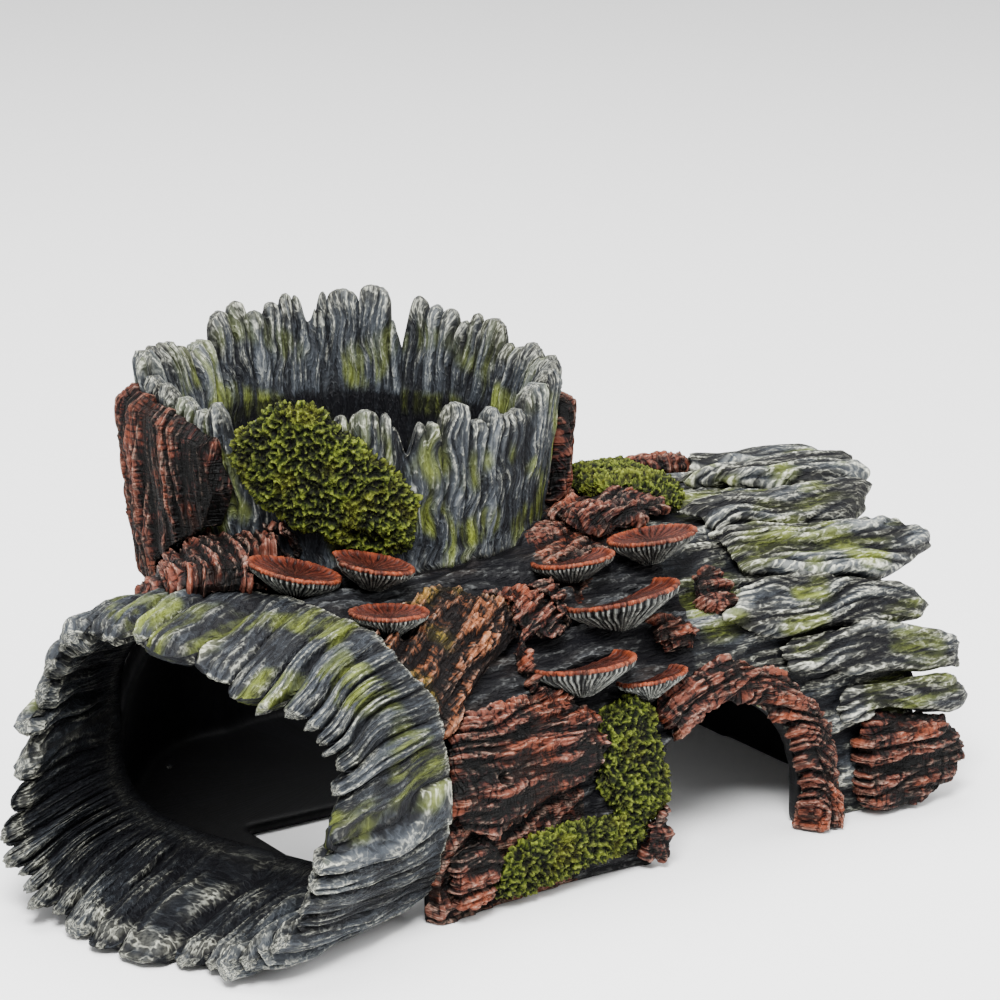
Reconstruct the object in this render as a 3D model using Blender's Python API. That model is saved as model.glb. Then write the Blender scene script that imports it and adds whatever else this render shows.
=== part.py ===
"""Resin cave ornament: a hollow log with a flared mouth, an upright stump and applied bark, fungi and moss.

Every casting is its own object, bonded to what carries it with a thin even gap. Metres, +Z up. The log runs
along X, with its mouth at -X, its tail at +X and its side arch towards -Y.
"""

import math
import random
from dataclasses import dataclass
from functools import lru_cache

import bmesh
import bpy
import numpy as np
from mathutils import Vector

# Fits between castings
BOND_GAP = 0.0003
NEIGHBOUR_GAP = 0.0006
PRESS_DEPTH = 0.0030
GROUND_DEPTH = 0.0040

# Hollow log: share of the way from mouth to tail, front edge y, back edge y, top z
LOG_SECTIONS = (
    (0.00, -0.0745, 0.0185, 0.0680),
    (0.30, -0.0700, 0.0610, 0.0705),
    (0.55, -0.0700, 0.0540, 0.0710),
    (0.80, -0.0690, 0.0470, 0.0700),
    (1.00, -0.0700, 0.0440, 0.0660),
)
LOG_TAIL_X = 0.100
LOG_WALL = 0.0050
LOG_END_WALL = 0.0140
LOG_RIB_HEIGHT = 0.0017
LOG_RIBS = 14
LOG_RIB_WANDER = 2.6
LOG_RIB_FADE = 0.06
LOG_SQUARENESS = 2.4
LOG_ROUND_STEPS = 80
LOG_LENGTH_STEPS = 22
LOG_ARC_SHARE = 0.75

# Floor of the hollow: a sill inside the mouth and a plate under the stump, open elsewhere
FLOOR_THICKNESS = 0.0030
FLOOR_SILL_X = -0.0510
FLOOR_FRONT_Y = -0.0030
FLOOR_TAIL_X = 0.0380

# Mouth flare: an oval tube that meets the log in a slanting plane and opens out in fingers
MOUTH_X = -0.060
MOUTH_Y = -0.028
MOUTH_Z = 0.034
MOUTH_TURN = math.radians(21.5)
FLARE_BACK_WIDTH = 0.0500
FLARE_BACK_TOP = 0.0340
FLARE_TIP_WIDTH = 0.0500
FLARE_TIP_TOP = 0.0265
FLARE_TIP_BOTTOM = 0.0340
FLARE_LENGTH = 0.0260
FLARE_TONGUE = 0.0200
FLARE_LEAN = 0.0080
FLARE_BACK_WALL = 0.0075
FLARE_TIP_WALL = 0.0030
FLARE_TOP_SQUARENESS = 2.5
FLARE_BASE_SQUARENESS = 4.0
FLARE_TIP_SQUARENESS = 2.9
FLARE_FINGERS = 40
FLARE_FINGER_LENGTH = 0.0090

# Stump: a round base on the log, with a crown of staves standing on its seat
STUMP_X = -0.008
STUMP_Y = 0.018
STUMP_RADIUS = 0.0460
STUMP_WALL = 0.0045
STUMP_SEAT_Z = 0.0720
STUMP_STEPS = 72
CROWN_RIM_RADIUS = 0.0505
CROWN_LEDGE_Z = 0.0860
CROWN_RIM_Z = 0.0990
CROWN_RIM_SLOPE = 0.0020
CROWN_TIP_WALL = 0.0030
CROWN_FINGERS = 36
CROWN_FINGER_HEIGHT = 0.0110
CROWN_NOTCH_ANGLES = (71.0, 43.0, -106.0, -155.0)
CROWN_NOTCH_DEPTH = 0.0080
CROWN_NOTCH_WIDTH = 3.0

# Side arch
ARCH_LEFT_X = 0.021
ARCH_RIGHT_X = 0.063
ARCH_TOP_Z = 0.034
ARCH_STEPS = 16

# Root framing the arch: a limb over the opening that comes down as a leg
ROOT_RADIUS = 0.0054
ROOT_START_ANGLE = 132.0
ROOT_STEPS = 12
ROOT_LEG_SWELL = 0.25
ROOT_SECTION_STEPS = 10

# Steps of the smaller castings
FINGER_STEPS = 3
PAD_ROUND_STEPS = 14
PAD_RISE_STEPS = 6
CAP_STEPS = 14
ARC_STEPS = 20

# Mushroom cap, as shares of its radius: dished top, rolled rim, gilled cone underneath
CAP_DISH = 0.16
CAP_RIM = 0.14
CAP_WAIST_RADIUS = 0.60
CAP_WAIST_DROP = 0.42
CAP_FOOT_RADIUS = 0.26
CAP_FOOT_DROP = 0.66
CAP_HEADROOM = 0.6

# Raised pads: how much of a pad's thickness stands at its edge, and how far its outline wanders
PAD_EDGE = 0.30
PAD_WANDER = 0.09


@dataclass(frozen=True)
class LogPad:
    """A bark plate, strand or moss pad wrapped on the log: centre by share of length and angle in degrees."""

    name: str
    share: float
    angle: float
    half_length: float
    half_width: float
    tilt: float
    thickness: float


@dataclass(frozen=True)
class StumpPad:
    """A bark plate or moss pad wrapped on the stump: centre by angle in degrees and height."""

    name: str
    angle: float
    height: float
    half_width: float
    half_height: float
    tilt: float
    thickness: float


@dataclass(frozen=True)
class Mushroom:
    """A bracket mushroom on the log: its rim's centre stands off the skin, and its cap slopes along x and y."""

    name: str
    share: float
    angle: float
    stand: float
    radius: float
    slope_x: float
    slope_y: float


MUSHROOMS = (
    Mushroom("mushroom_1", 0.062, 87.0, 0.0050, 0.0105, -0.24, 0.04),
    Mushroom("mushroom_2", 0.150, 75.5, 0.0065, 0.0096, -0.21, 0.02),
    Mushroom("mushroom_3", 0.078, 63.5, 0.0045, 0.0088, -0.07, -0.10),
    Mushroom("mushroom_4", 0.465, 63.0, 0.0045, 0.0096, 0.05, -0.18),
    Mushroom("mushroom_5", 0.605, 64.0, 0.0050, 0.0104, 0.06, -0.18),
    Mushroom("mushroom_6", 0.490, 51.5, 0.0045, 0.0135, 0.11, -0.24),
    Mushroom("mushroom_7", 0.365, 38.5, 0.0035, 0.0122, 0.02, -0.18),
    Mushroom("mushroom_8", 0.475, 33.0, 0.0030, 0.0082, 0.10, -0.21),
)
STUMP_MOSS = (StumpPad("moss_stump", -128.5, 0.0900, 0.0235, 0.0135, -36.0, 0.0050),)
LOG_MOSS = (
    LogPad("moss_top", 0.730, 93.0, 0.0100, 0.0210, -12.0, 0.0052),
    LogPad("moss_front", 0.408, 17.5, 0.0100, 0.0150, 0.0, 0.0050),
)
MOSS_SKIRT = LogPad("moss_skirt", 0.255, 5.0, 0.0270, 0.0065, 4.0, 0.0050)
SHOULDER_BARK = (LogPad("bark_shoulder", 0.060, 106.0, 0.0170, 0.0210, 0.0, 0.0090),)
STUMP_BARK = (
    StumpPad("bark_stump_left", 172.0, 0.0800, 0.0275, 0.0255, 0.0, 0.0085),
    StumpPad("bark_stump_chip", -141.5, 0.0745, 0.0060, 0.0055, 20.0, 0.0040),
    StumpPad("bark_stump_right", -24.0, 0.0810, 0.0110, 0.0140, -10.0, 0.0070),
)
LOG_BARK = (
    LogPad("bark_centre", 0.125, 51.0, 0.0290, 0.0140, 14.0, 0.0054),
    LogPad("bark_beside_centre", 0.318, 45.0, 0.0095, 0.0170, -8.0, 0.0048),
    LogPad("bark_front", 0.195, 23.5, 0.0280, 0.0135, 3.0, 0.0062),
    LogPad("bark_low", 0.068, 6.0, 0.0090, 0.0085, 0.0, 0.0044),
    LogPad("bark_below_fungus", 0.385, 54.0, 0.0065, 0.0065, 10.0, 0.0040),
    LogPad("bark_top", 0.620, 79.0, 0.0150, 0.0085, 8.0, 0.0050),
    LogPad("bark_crest", 0.830, 106.0, 0.0150, 0.0080, 4.0, 0.0050),
    LogPad("bark_chip_upper", 0.660, 49.0, 0.0060, 0.0060, 15.0, 0.0042),
    LogPad("bark_chip_lower", 0.550, 41.0, 0.0065, 0.0050, -10.0, 0.0042),
    LogPad("bark_jamb", 0.440, 4.5, 0.0045, 0.0080, 0.0, 0.0046),
    LogPad("bark_tail_foot", 0.955, 7.0, 0.0180, 0.0125, 2.0, 0.0075),
)
STRANDS = (
    LogPad("strand_1", 1.000, 104.0, 0.0240, 0.0070, 2.0, 0.0050),
    LogPad("strand_2", 0.985, 89.5, 0.0260, 0.0070, -2.0, 0.0052),
    LogPad("strand_3", 0.900, 73.5, 0.0290, 0.0080, 4.0, 0.0052),
    LogPad("strand_4", 0.905, 57.0, 0.0310, 0.0080, -2.0, 0.0056),
    LogPad("strand_5", 0.850, 42.0, 0.0310, 0.0070, -3.0, 0.0050),
    LogPad("strand_6", 0.915, 30.0, 0.0290, 0.0060, -5.0, 0.0054),
    LogPad("strand_7", 0.965, 18.5, 0.0210, 0.0050, -3.0, 0.0050),
)


def clear_scene():
    """Removes whatever the scene holds."""
    for thing in list(bpy.data.objects):
        bpy.data.objects.remove(thing, do_unlink=True)


def new_collection(name):
    """A collection linked to the scene."""
    collection = bpy.data.collections.new(name)
    bpy.context.scene.collection.children.link(collection)
    return collection


def painted_resin(name, colour, roughness):
    """A painted-resin material."""
    material = bpy.data.materials.new(name)
    material.use_nodes = True
    shader = material.node_tree.nodes["Principled BSDF"]
    shader.inputs["Base Color"].default_value = (*colour, 1.0)
    shader.inputs["Roughness"].default_value = roughness
    shader.inputs["Metallic"].default_value = 0.0
    return material


def finish_object(name, shape, collection, material=None):
    """Turns a bmesh into an object with its faces pointing out and shaded smooth up to a sharp angle."""
    bmesh.ops.recalc_face_normals(shape, faces=shape.faces)
    if shape.calc_volume(signed=True) < 0:
        bmesh.ops.reverse_faces(shape, faces=shape.faces)
    mesh = bpy.data.meshes.new(name)
    shape.to_mesh(mesh)
    shape.free()
    mesh.shade_smooth()
    mesh.set_sharp_from_angle(angle=math.radians(40))
    made = bpy.data.objects.new(name, mesh)
    collection.objects.link(made)
    if material is None:
        made.hide_render = True
        made.display_type = "WIRE"
    else:
        mesh.materials.append(material)
    return made


def combine(target, other, operation="DIFFERENCE"):
    """Cuts other from target, or joins it."""
    modifier = target.modifiers.new(f"{operation.lower()} {other.name}", "BOOLEAN")
    modifier.operation = operation
    modifier.object = other
    modifier.solver = "EXACT"


def eased(share, shares, values):
    """A smooth curve through a few values along the log."""
    place = min(max(share, shares[0]), shares[-1])
    slopes = np.gradient(values, shares)
    k = min(int(np.searchsorted(shares, place, side="right")) - 1, len(shares) - 2)
    width = shares[k + 1] - shares[k]
    u = (place - shares[k]) / width
    start = (1 + 2 * u) * (1 - u) ** 2 * values[k] + u * (1 - u) ** 2 * width * slopes[k]
    return start + u * u * (3 - 2 * u) * values[k + 1] + u * u * (u - 1) * width * slopes[k + 1]


def power(value, exponent):
    """A signed power, which rounds or squares an oval."""
    return math.copysign(abs(value) ** exponent, value)


def log_surface(share, angle):
    """A point of the log's outer skin: angle runs from the front edge, over the top, to the back edge."""
    shares, fronts, backs, tops = np.array(LOG_SECTIONS).T
    front, back, top = (eased(share, shares, values) for values in (fronts, backs, tops))
    exponent = 2 / LOG_SQUARENESS
    y = (front + back) / 2 - (back - front) / 2 * power(math.cos(angle), exponent)
    z = top * power(math.sin(angle), exponent)
    mouth_x = MOUTH_X - (y - MOUTH_Y) * math.tan(MOUTH_TURN)
    return Vector((mouth_x + (LOG_TAIL_X - mouth_x) * share, y, z))


def log_rib(share, angle):
    """How far the ribs of weathered wood stand out from the log's skin, or sink below it."""
    place = 2 * LOG_RIBS * angle + LOG_RIB_WANDER * math.sin(math.tau * share + 2 * angle)
    return LOG_RIB_HEIGHT / 2 * math.cos(place) * min(max(share / LOG_RIB_FADE, 0.0), 1.0)


def log_point(share, angle, offset=0.0, ribbed=True):
    """A point at a distance outside the log's skin, with its ribs or without them."""
    step = 1e-3
    offset += log_rib(share, angle) if ribbed else 0.0
    inner = min(max(angle, 2 * step), math.pi - 2 * step)
    along = log_surface(share + step, inner) - log_surface(share - step, inner)
    around = log_surface(share, inner + step) - log_surface(share, inner - step)
    return log_surface(share, angle) + offset * along.cross(around).normalized()


def log_solid(offset, start, end, base_z, ribbed=True):
    """The log's section swept from one share of its length to another, as one closed D-shaped body."""
    shape = bmesh.new()
    bmesh.ops.create_cone(shape, cap_ends=True, segments=LOG_ROUND_STEPS, radius1=1, radius2=1, depth=1)
    sides = [edge for edge in shape.edges if abs(edge.verts[0].co.z - edge.verts[1].co.z) > 0.5]
    bmesh.ops.subdivide_edges(shape, edges=sides, cuts=LOG_LENGTH_STEPS - 1)
    for vert in shape.verts:
        share = start + (vert.co.z + 0.5) * (end - start)
        turn = (math.atan2(vert.co.y, vert.co.x) / math.tau) % 1.0
        turn = 0.0 if turn > 1 - 1e-6 else turn
        if turn <= LOG_ARC_SHARE + 1e-6:
            place = log_point(share, math.pi * min(turn / LOG_ARC_SHARE, 1.0), offset, ribbed)
            place.z = place.z if 1e-6 < turn < LOG_ARC_SHARE - 1e-6 else base_z
        else:
            across = (turn - LOG_ARC_SHARE) / (1 - LOG_ARC_SHARE)
            place = log_point(share, math.pi, offset, ribbed).lerp(log_point(share, 0.0, offset, ribbed), across)
            place.z = base_z
        vert.co = place
    bmesh.ops.triangulate(shape, faces=[face for face in shape.faces if len(face.verts) == 4], quad_method="FIXED")
    return shape


def cylinder(radius, x, y, bottom, top, steps):
    """An upright closed cylinder."""
    shape = bmesh.new()
    bmesh.ops.create_cone(
        shape, cap_ends=True, segments=steps, radius1=radius, radius2=radius, depth=top - bottom
    )
    bmesh.ops.translate(shape, verts=shape.verts, vec=(x, y, (top + bottom) / 2))
    return shape


def box(low, high):
    """A closed box between two corners."""
    shape = bmesh.new()
    bmesh.ops.create_cube(shape, size=1.0)
    low, high = Vector(low), Vector(high)
    bmesh.ops.scale(shape, verts=shape.verts, vec=high - low)
    bmesh.ops.translate(shape, verts=shape.verts, vec=(high + low) / 2)
    return shape


def turned_loop(profile, steps):
    """A closed loop of (side, height) points turned a full circle about +Z."""
    shape = bmesh.new()
    points = [shape.verts.new((side, 0, height)) for side, height in profile]
    edges = [shape.edges.new((points[i - 1], points[i])) for i in range(len(points))]
    bmesh.ops.spin(
        shape, geom=points + edges, cent=(0, 0, 0), axis=(0, 0, 1), angle=math.tau, steps=steps, use_merge=True
    )
    bmesh.ops.remove_doubles(shape, verts=shape.verts, dist=1e-6)
    return shape


def finger_lengths(count, seed):
    """How far each finger of a jagged edge reaches, from 0.35 to 1."""
    draw = random.Random(seed)
    return [draw.uniform(0.35, 1.0) for _ in range(count)]


def finger_reach(turn, lengths):
    """The jagged edge's reach at a share of a full turn: rounded fingers with a notch between each two."""
    place = (turn % 1.0) * len(lengths)
    across = 2 * (place % 1.0) - 1
    return lengths[int(place) % len(lengths)] * math.sqrt(max(0.0, 1 - across * across))


# Side names of the turned loops: 2 is the outer face, 1 the inner face, between them the edge
FLARE_LOOP = ((2, 0.0), (2, 0.4), (2, 0.75), (1.5, 1.0), (1, 0.75), (1, 0.4), (1, 0.0))
CROWN_LOOP = ((2, 0.0), (2, 0.5), (2, 0.85), (1.5, 1.0), (1, 0.85), (1, 0.4), (1, 0.0))


def flare_point(turn, side, along, lengths, grow=0.0):
    """A point of the mouth flare: along runs from the log's end at 0 to the finger tips at 1."""
    opening = along**1.5
    below = math.sin(math.tau * turn) < 0
    back_squareness = FLARE_BASE_SQUARENESS if below else FLARE_TOP_SQUARENESS
    exponent = 2 / (back_squareness + (FLARE_TIP_SQUARENESS - back_squareness) * opening)
    across = power(math.cos(math.tau * turn), exponent)
    height = power(math.sin(math.tau * turn), exponent)
    tip_height = FLARE_TIP_BOTTOM if below else FLARE_TIP_TOP
    half_width = FLARE_BACK_WIDTH + (FLARE_TIP_WIDTH - FLARE_BACK_WIDTH) * opening
    half_height = FLARE_BACK_TOP + (tip_height - FLARE_BACK_TOP) * opening
    wall = FLARE_BACK_WALL + (FLARE_TIP_WALL - FLARE_BACK_WALL) * opening
    inset = wall * (2 - side) - grow
    reach = FLARE_LENGTH + FLARE_TONGUE * max(0.0, 0.35 - height) / 1.35
    reach += FLARE_FINGER_LENGTH * finger_reach(turn, lengths)
    facing = Vector((-math.cos(MOUTH_TURN), -math.sin(MOUTH_TURN), 0.0))
    sideways = Vector((math.sin(MOUTH_TURN), -math.cos(MOUTH_TURN), 0.0))
    place = Vector((MOUTH_X, MOUTH_Y, MOUTH_Z)) + facing * (BOND_GAP + reach * along)
    place += sideways * (FLARE_LEAN * opening + (half_width - inset) * across)
    place.z += (half_height - inset) * height
    return place


def flare_clearance():
    """The flare filled in and grown a little, as one solid to cut what lies over it."""
    lengths = finger_lengths(FLARE_FINGERS, seed=11)
    rows = [along for side, along in FLARE_LOOP if side > 1]
    shape = bmesh.new()
    bmesh.ops.create_cone(
        shape, cap_ends=True, segments=FLARE_FINGERS * FINGER_STEPS, radius1=1, radius2=1, depth=len(rows) - 1
    )
    sides = [edge for edge in shape.edges if abs(edge.verts[0].co.z - edge.verts[1].co.z) > 0.5]
    bmesh.ops.subdivide_edges(shape, edges=sides, cuts=len(rows) - 2)
    facing = Vector((-math.cos(MOUTH_TURN), -math.sin(MOUTH_TURN), 0.0))
    for vert in shape.verts:
        turn = math.atan2(vert.co.y, vert.co.x) / math.tau
        row = round(vert.co.z + (len(rows) - 1) / 2)
        vert.co = flare_point(turn, 2, rows[row], lengths, NEIGHBOUR_GAP)
        if row == 0:
            vert.co -= facing * 4 * BOND_GAP
    return shape


def make_mouth_flare(parts, material):
    """The flared oval collar at the mouth."""
    lengths = finger_lengths(FLARE_FINGERS, seed=11)
    shape = turned_loop(FLARE_LOOP, FLARE_FINGERS * FINGER_STEPS)
    for vert in shape.verts:
        turn = math.atan2(vert.co.y, vert.co.x) / math.tau
        side = math.hypot(vert.co.x, vert.co.y)
        vert.co = flare_point(turn, side, vert.co.z, lengths)
    return finish_object("mouth_flare", shape, parts, material)


def stump_radius(height):
    """The stump's outer radius: straight up to its seat, then leaning out to the crown's rim."""
    lean = (height - STUMP_SEAT_Z) / (CROWN_RIM_Z + CROWN_FINGER_HEIGHT - STUMP_SEAT_Z)
    return STUMP_RADIUS + (CROWN_RIM_RADIUS - STUMP_RADIUS) * max(0.0, lean)


def crown_point(turn, side, along, lengths):
    """A point of the stump's crown: along runs from its seat at 0 to the stave tips at 1."""
    angle = math.tau * turn
    notch = 0.0
    for notch_angle in CROWN_NOTCH_ANGLES:
        apart = (math.degrees(angle) - notch_angle + 180) % 360 - 180
        notch += CROWN_NOTCH_DEPTH * math.exp(-((apart / CROWN_NOTCH_WIDTH) ** 2))
    tip_z = CROWN_RIM_Z + CROWN_RIM_SLOPE * math.sin(angle)
    tip_z += CROWN_FINGER_HEIGHT * finger_reach(turn, lengths) - notch
    height = STUMP_SEAT_Z + BOND_GAP + (tip_z - STUMP_SEAT_Z - BOND_GAP) * along
    outer = stump_radius(height)
    ledge = (CROWN_LEDGE_Z - STUMP_SEAT_Z) / (tip_z - STUMP_SEAT_Z)
    flare = max(0.0, along - ledge) / (1 - ledge)
    bore = STUMP_RADIUS - STUMP_WALL
    inner = bore + (stump_radius(tip_z) - CROWN_TIP_WALL - bore) * flare
    radius = inner + (outer - inner) * (side - 1)
    return Vector((STUMP_X + radius * math.cos(angle), STUMP_Y + radius * math.sin(angle), height))


def make_stump_crown(parts, material):
    """The ring of weathered staves standing on the stump's seat."""
    lengths = finger_lengths(CROWN_FINGERS, seed=5)
    shape = turned_loop(CROWN_LOOP, CROWN_FINGERS * FINGER_STEPS)
    for vert in shape.verts:
        turn = math.atan2(vert.co.y, vert.co.x) / math.tau
        side = math.hypot(vert.co.x, vert.co.y)
        vert.co = crown_point(turn, side, vert.co.z, lengths)
    return finish_object("stump_crown", shape, parts, material)


def arch_cutter(cutters):
    """A round-topped passage through the log's front wall."""
    half = (ARCH_RIGHT_X - ARCH_LEFT_X) / 2
    rise = min(half, ARCH_TOP_Z)
    outline = bmesh.new()
    corners = [(-half, -GROUND_DEPTH * 2), (half, -GROUND_DEPTH * 2)]
    for step in range(ARCH_STEPS + 1):
        angle = math.pi * step / ARCH_STEPS
        corners.append((half * math.cos(angle), ARCH_TOP_Z - rise + rise * math.sin(angle)))
    front = 2 * min(row[1] for row in LOG_SECTIONS)
    centre = (ARCH_LEFT_X + ARCH_RIGHT_X) / 2
    face = outline.faces.new([outline.verts.new((centre + x, front, z)) for x, z in corners])
    made = bmesh.ops.extrude_face_region(outline, geom=[face])
    moved = [item for item in made["geom"] if isinstance(item, bmesh.types.BMVert)]
    bmesh.ops.translate(outline, verts=moved, vec=(0, MOUTH_Y - front, 0))
    return finish_object("arch_passage", outline, cutters)


def floor_solids():
    """Named blocks that the hollow is not cut in: the sill inside the mouth and the plate under the stump."""
    front = 2 * min(row[1] for row in LOG_SECTIONS)
    back = 2 * (STUMP_Y + STUMP_RADIUS)
    mouth = 3 * MOUTH_X
    sill = box((mouth, front, -6 * GROUND_DEPTH), (FLOOR_SILL_X, back, FLOOR_THICKNESS))
    plate = box((mouth, FLOOR_FRONT_Y, -6 * GROUND_DEPTH), (FLOOR_TAIL_X, back, FLOOR_THICKNESS))
    return (("floor_sill", sill), ("floor_plate", plate))


def make_log_shell(parts, cutters, material):
    """The hollow log with the stump's base on it, open at the mouth, the arch, the bore and part of its floor."""
    shell = finish_object("log_shell", log_solid(0.0, 0.0, 1.0, -GROUND_DEPTH), parts, material)
    base = cylinder(STUMP_RADIUS, STUMP_X, STUMP_Y, -GROUND_DEPTH, STUMP_SEAT_Z, STUMP_STEPS)
    combine(shell, finish_object("stump_base", base, cutters), "UNION")
    end = 1.0 - LOG_END_WALL / (LOG_TAIL_X - MOUTH_X)
    cavity = finish_object("log_cavity", log_solid(-LOG_WALL, -0.2, end, -3 * GROUND_DEPTH, False), cutters)
    for name, solid in floor_solids():
        combine(cavity, finish_object(name, solid, cutters))
    combine(shell, cavity)
    bore = cylinder(STUMP_RADIUS - STUMP_WALL, STUMP_X, STUMP_Y, FLOOR_THICKNESS, 2 * STUMP_SEAT_Z, STUMP_STEPS)
    combine(shell, finish_object("stump_bore", bore, cutters))
    combine(shell, arch_cutter(cutters))
    combine(shell, bpy.data.objects["ground"])
    return shell


@lru_cache(maxsize=None)
def skin_arc(step):
    """Angles round the log's skin and the distances along it, at one of the steps along the log."""
    angles = np.linspace(0.0, math.pi, 61)
    points = np.array([log_surface(step / ARC_STEPS, angle) for angle in angles])
    steps = np.linalg.norm(np.diff(points, axis=0), axis=1)
    return angles, np.concatenate([[0.0], np.cumsum(steps)])


def skin_angle(share, start_angle, distance):
    """The angle that lies a distance round the skin from another."""
    place = min(max(share, 0.0), 1.0) * ARC_STEPS
    found = []
    for step in (int(place), int(place) + 1):
        angles, lengths = skin_arc(step)
        arc = np.interp(start_angle, angles, lengths) + distance
        found.append(float(np.interp(arc, lengths, angles)))
    return found[0] + (found[1] - found[0]) * (place - int(place))


def on_log(pad, along, across, offset):
    """Where a pad's own (along, across) lies, wrapped on the log."""
    tilt = math.radians(pad.tilt)
    run = along * math.cos(tilt) - across * math.sin(tilt)
    rise = along * math.sin(tilt) + across * math.cos(tilt)
    share = pad.share + run / (LOG_TAIL_X - MOUTH_X)
    return log_point(share, skin_angle(share, math.radians(pad.angle), rise), offset)


def on_stump(pad, along, across, offset):
    """Where a pad's own (along, across) lies, wrapped on the stump."""
    tilt = math.radians(pad.tilt)
    run = along * math.cos(tilt) - across * math.sin(tilt)
    rise = along * math.sin(tilt) + across * math.cos(tilt)
    height = pad.height + rise
    radius = stump_radius(height)
    angle = math.radians(pad.angle) + run / radius
    radius += offset
    return Vector((STUMP_X + radius * math.cos(angle), STUMP_Y + radius * math.sin(angle), height))


def pad_solid(pad, grow):
    """A pillow wrapped on the log or stump: pressed into it below, domed above, with a wandering outline."""
    on_trunk = isinstance(pad, StumpPad)
    place = on_stump if on_trunk else on_log
    half_length, half_width = (
        (pad.half_width, pad.half_height) if on_trunk else (pad.half_length, pad.half_width)
    )
    phase = sum(ord(letter) for letter in pad.name)
    shape = bmesh.new()
    bmesh.ops.create_uvsphere(shape, u_segments=PAD_ROUND_STEPS, v_segments=PAD_RISE_STEPS, radius=1.0)
    bmesh.ops.triangulate(shape, faces=shape.faces, quad_method="FIXED")
    for vert in shape.verts:
        spread = min(1.0, math.hypot(vert.co.x, vert.co.y))
        angle = math.atan2(vert.co.y, vert.co.x)
        wander = 1 + PAD_WANDER * (math.sin(3 * angle + phase) + 0.6 * math.sin(5 * angle + 2 * phase))
        square = 1 / max(abs(math.cos(angle)) ** 3 + abs(math.sin(angle)) ** 3, 1e-9) ** (1 / 3)
        reach = spread * wander * square
        along = reach * math.cos(angle) * half_length + grow * spread * power(math.cos(angle), 0.5)
        across = reach * math.sin(angle) * half_width + grow * spread * power(math.sin(angle), 0.5)
        lift = PAD_EDGE + (1 - PAD_EDGE) * math.sqrt(max(vert.co.z, 0.0))
        offset = pad.thickness * lift + grow if vert.co.z > -1e-4 else -PRESS_DEPTH - grow
        vert.co = place(pad, along, across, offset)
    return shape


def mushroom_solid(fungus, grow):
    """A mushroom: a dished cap with a gilled cone under it, turned about an upright axis and then sloped.

    Grown, it also fills the headroom over the cap, so that nothing bonded on later overhangs it.
    """
    radius = fungus.radius
    headroom = CAP_HEADROOM * radius if grow else 0.0
    shape = bmesh.new()
    profile = (
        (0.0, headroom - CAP_DISH * radius + grow),
        (radius * 0.8, headroom - CAP_DISH * radius * 0.5 + grow),
        (radius + grow, headroom + grow),
        (radius + grow, -CAP_RIM * radius - grow),
        (CAP_WAIST_RADIUS * radius + grow, -CAP_WAIST_DROP * radius - grow),
        (CAP_FOOT_RADIUS * radius + grow, -CAP_FOOT_DROP * radius - grow),
        (0.0, -CAP_FOOT_DROP * radius - grow),
    )
    points = [shape.verts.new((side, 0, height)) for side, height in profile]
    edges = [shape.edges.new(pair) for pair in zip(points, points[1:])]
    bmesh.ops.spin(
        shape,
        geom=points + edges,
        cent=(0, 0, 0),
        axis=(0, 0, 1),
        angle=math.tau,
        steps=CAP_STEPS,
        use_merge=True,
    )
    bmesh.ops.remove_doubles(shape, verts=shape.verts, dist=1e-6)
    for vert in shape.verts:
        vert.co.z += fungus.slope_x * vert.co.x + fungus.slope_y * vert.co.y
    centre = log_point(fungus.share, math.radians(fungus.angle), fungus.stand)
    bmesh.ops.translate(shape, verts=shape.verts, vec=centre)
    return shape


def front_place(x, z):
    """The share and angle of the log's front skin at a place seen from the front."""
    shares, fronts, backs, tops = np.array(LOG_SECTIONS).T
    share = 0.5
    angle = 0.0
    for _ in range(8):
        top = eased(share, shares, tops)
        angle = math.asin(min(1.0, max(0.0, z / top)) ** (LOG_SQUARENESS / 2))
        mouth_x = MOUTH_X - (log_surface(share, angle).y - MOUTH_Y) * math.tan(MOUTH_TURN)
        share = (x - mouth_x) / (LOG_TAIL_X - mouth_x)
    return share, angle


def root_path():
    """The centre line of the root that frames the arch: over the top, then down to the ground as a leg."""
    half = (ARCH_RIGHT_X - ARCH_LEFT_X) / 2
    rise = min(half, ARCH_TOP_Z)
    centre_x = (ARCH_LEFT_X + ARCH_RIGHT_X) / 2
    centre_z = ARCH_TOP_Z - rise
    places = []
    for step in range(ROOT_STEPS):
        angle = math.radians(ROOT_START_ANGLE * (1 - step / (ROOT_STEPS - 1)))
        places.append(
            (
                centre_x + (half + ROOT_RADIUS * 0.85) * math.cos(angle),
                centre_z + (rise + ROOT_RADIUS * 0.85) * math.sin(angle),
            )
        )
    places.append((places[-1][0] + 0.1 * ROOT_RADIUS, centre_z * 0.45))
    places.append((places[-1][0] + 0.1 * ROOT_RADIUS, -GROUND_DEPTH))
    return [log_point(*front_place(x, max(z, 0.0)), 0.2 * ROOT_RADIUS) + Vector((0, 0, min(z, 0.0))) for x, z in places]


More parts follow.
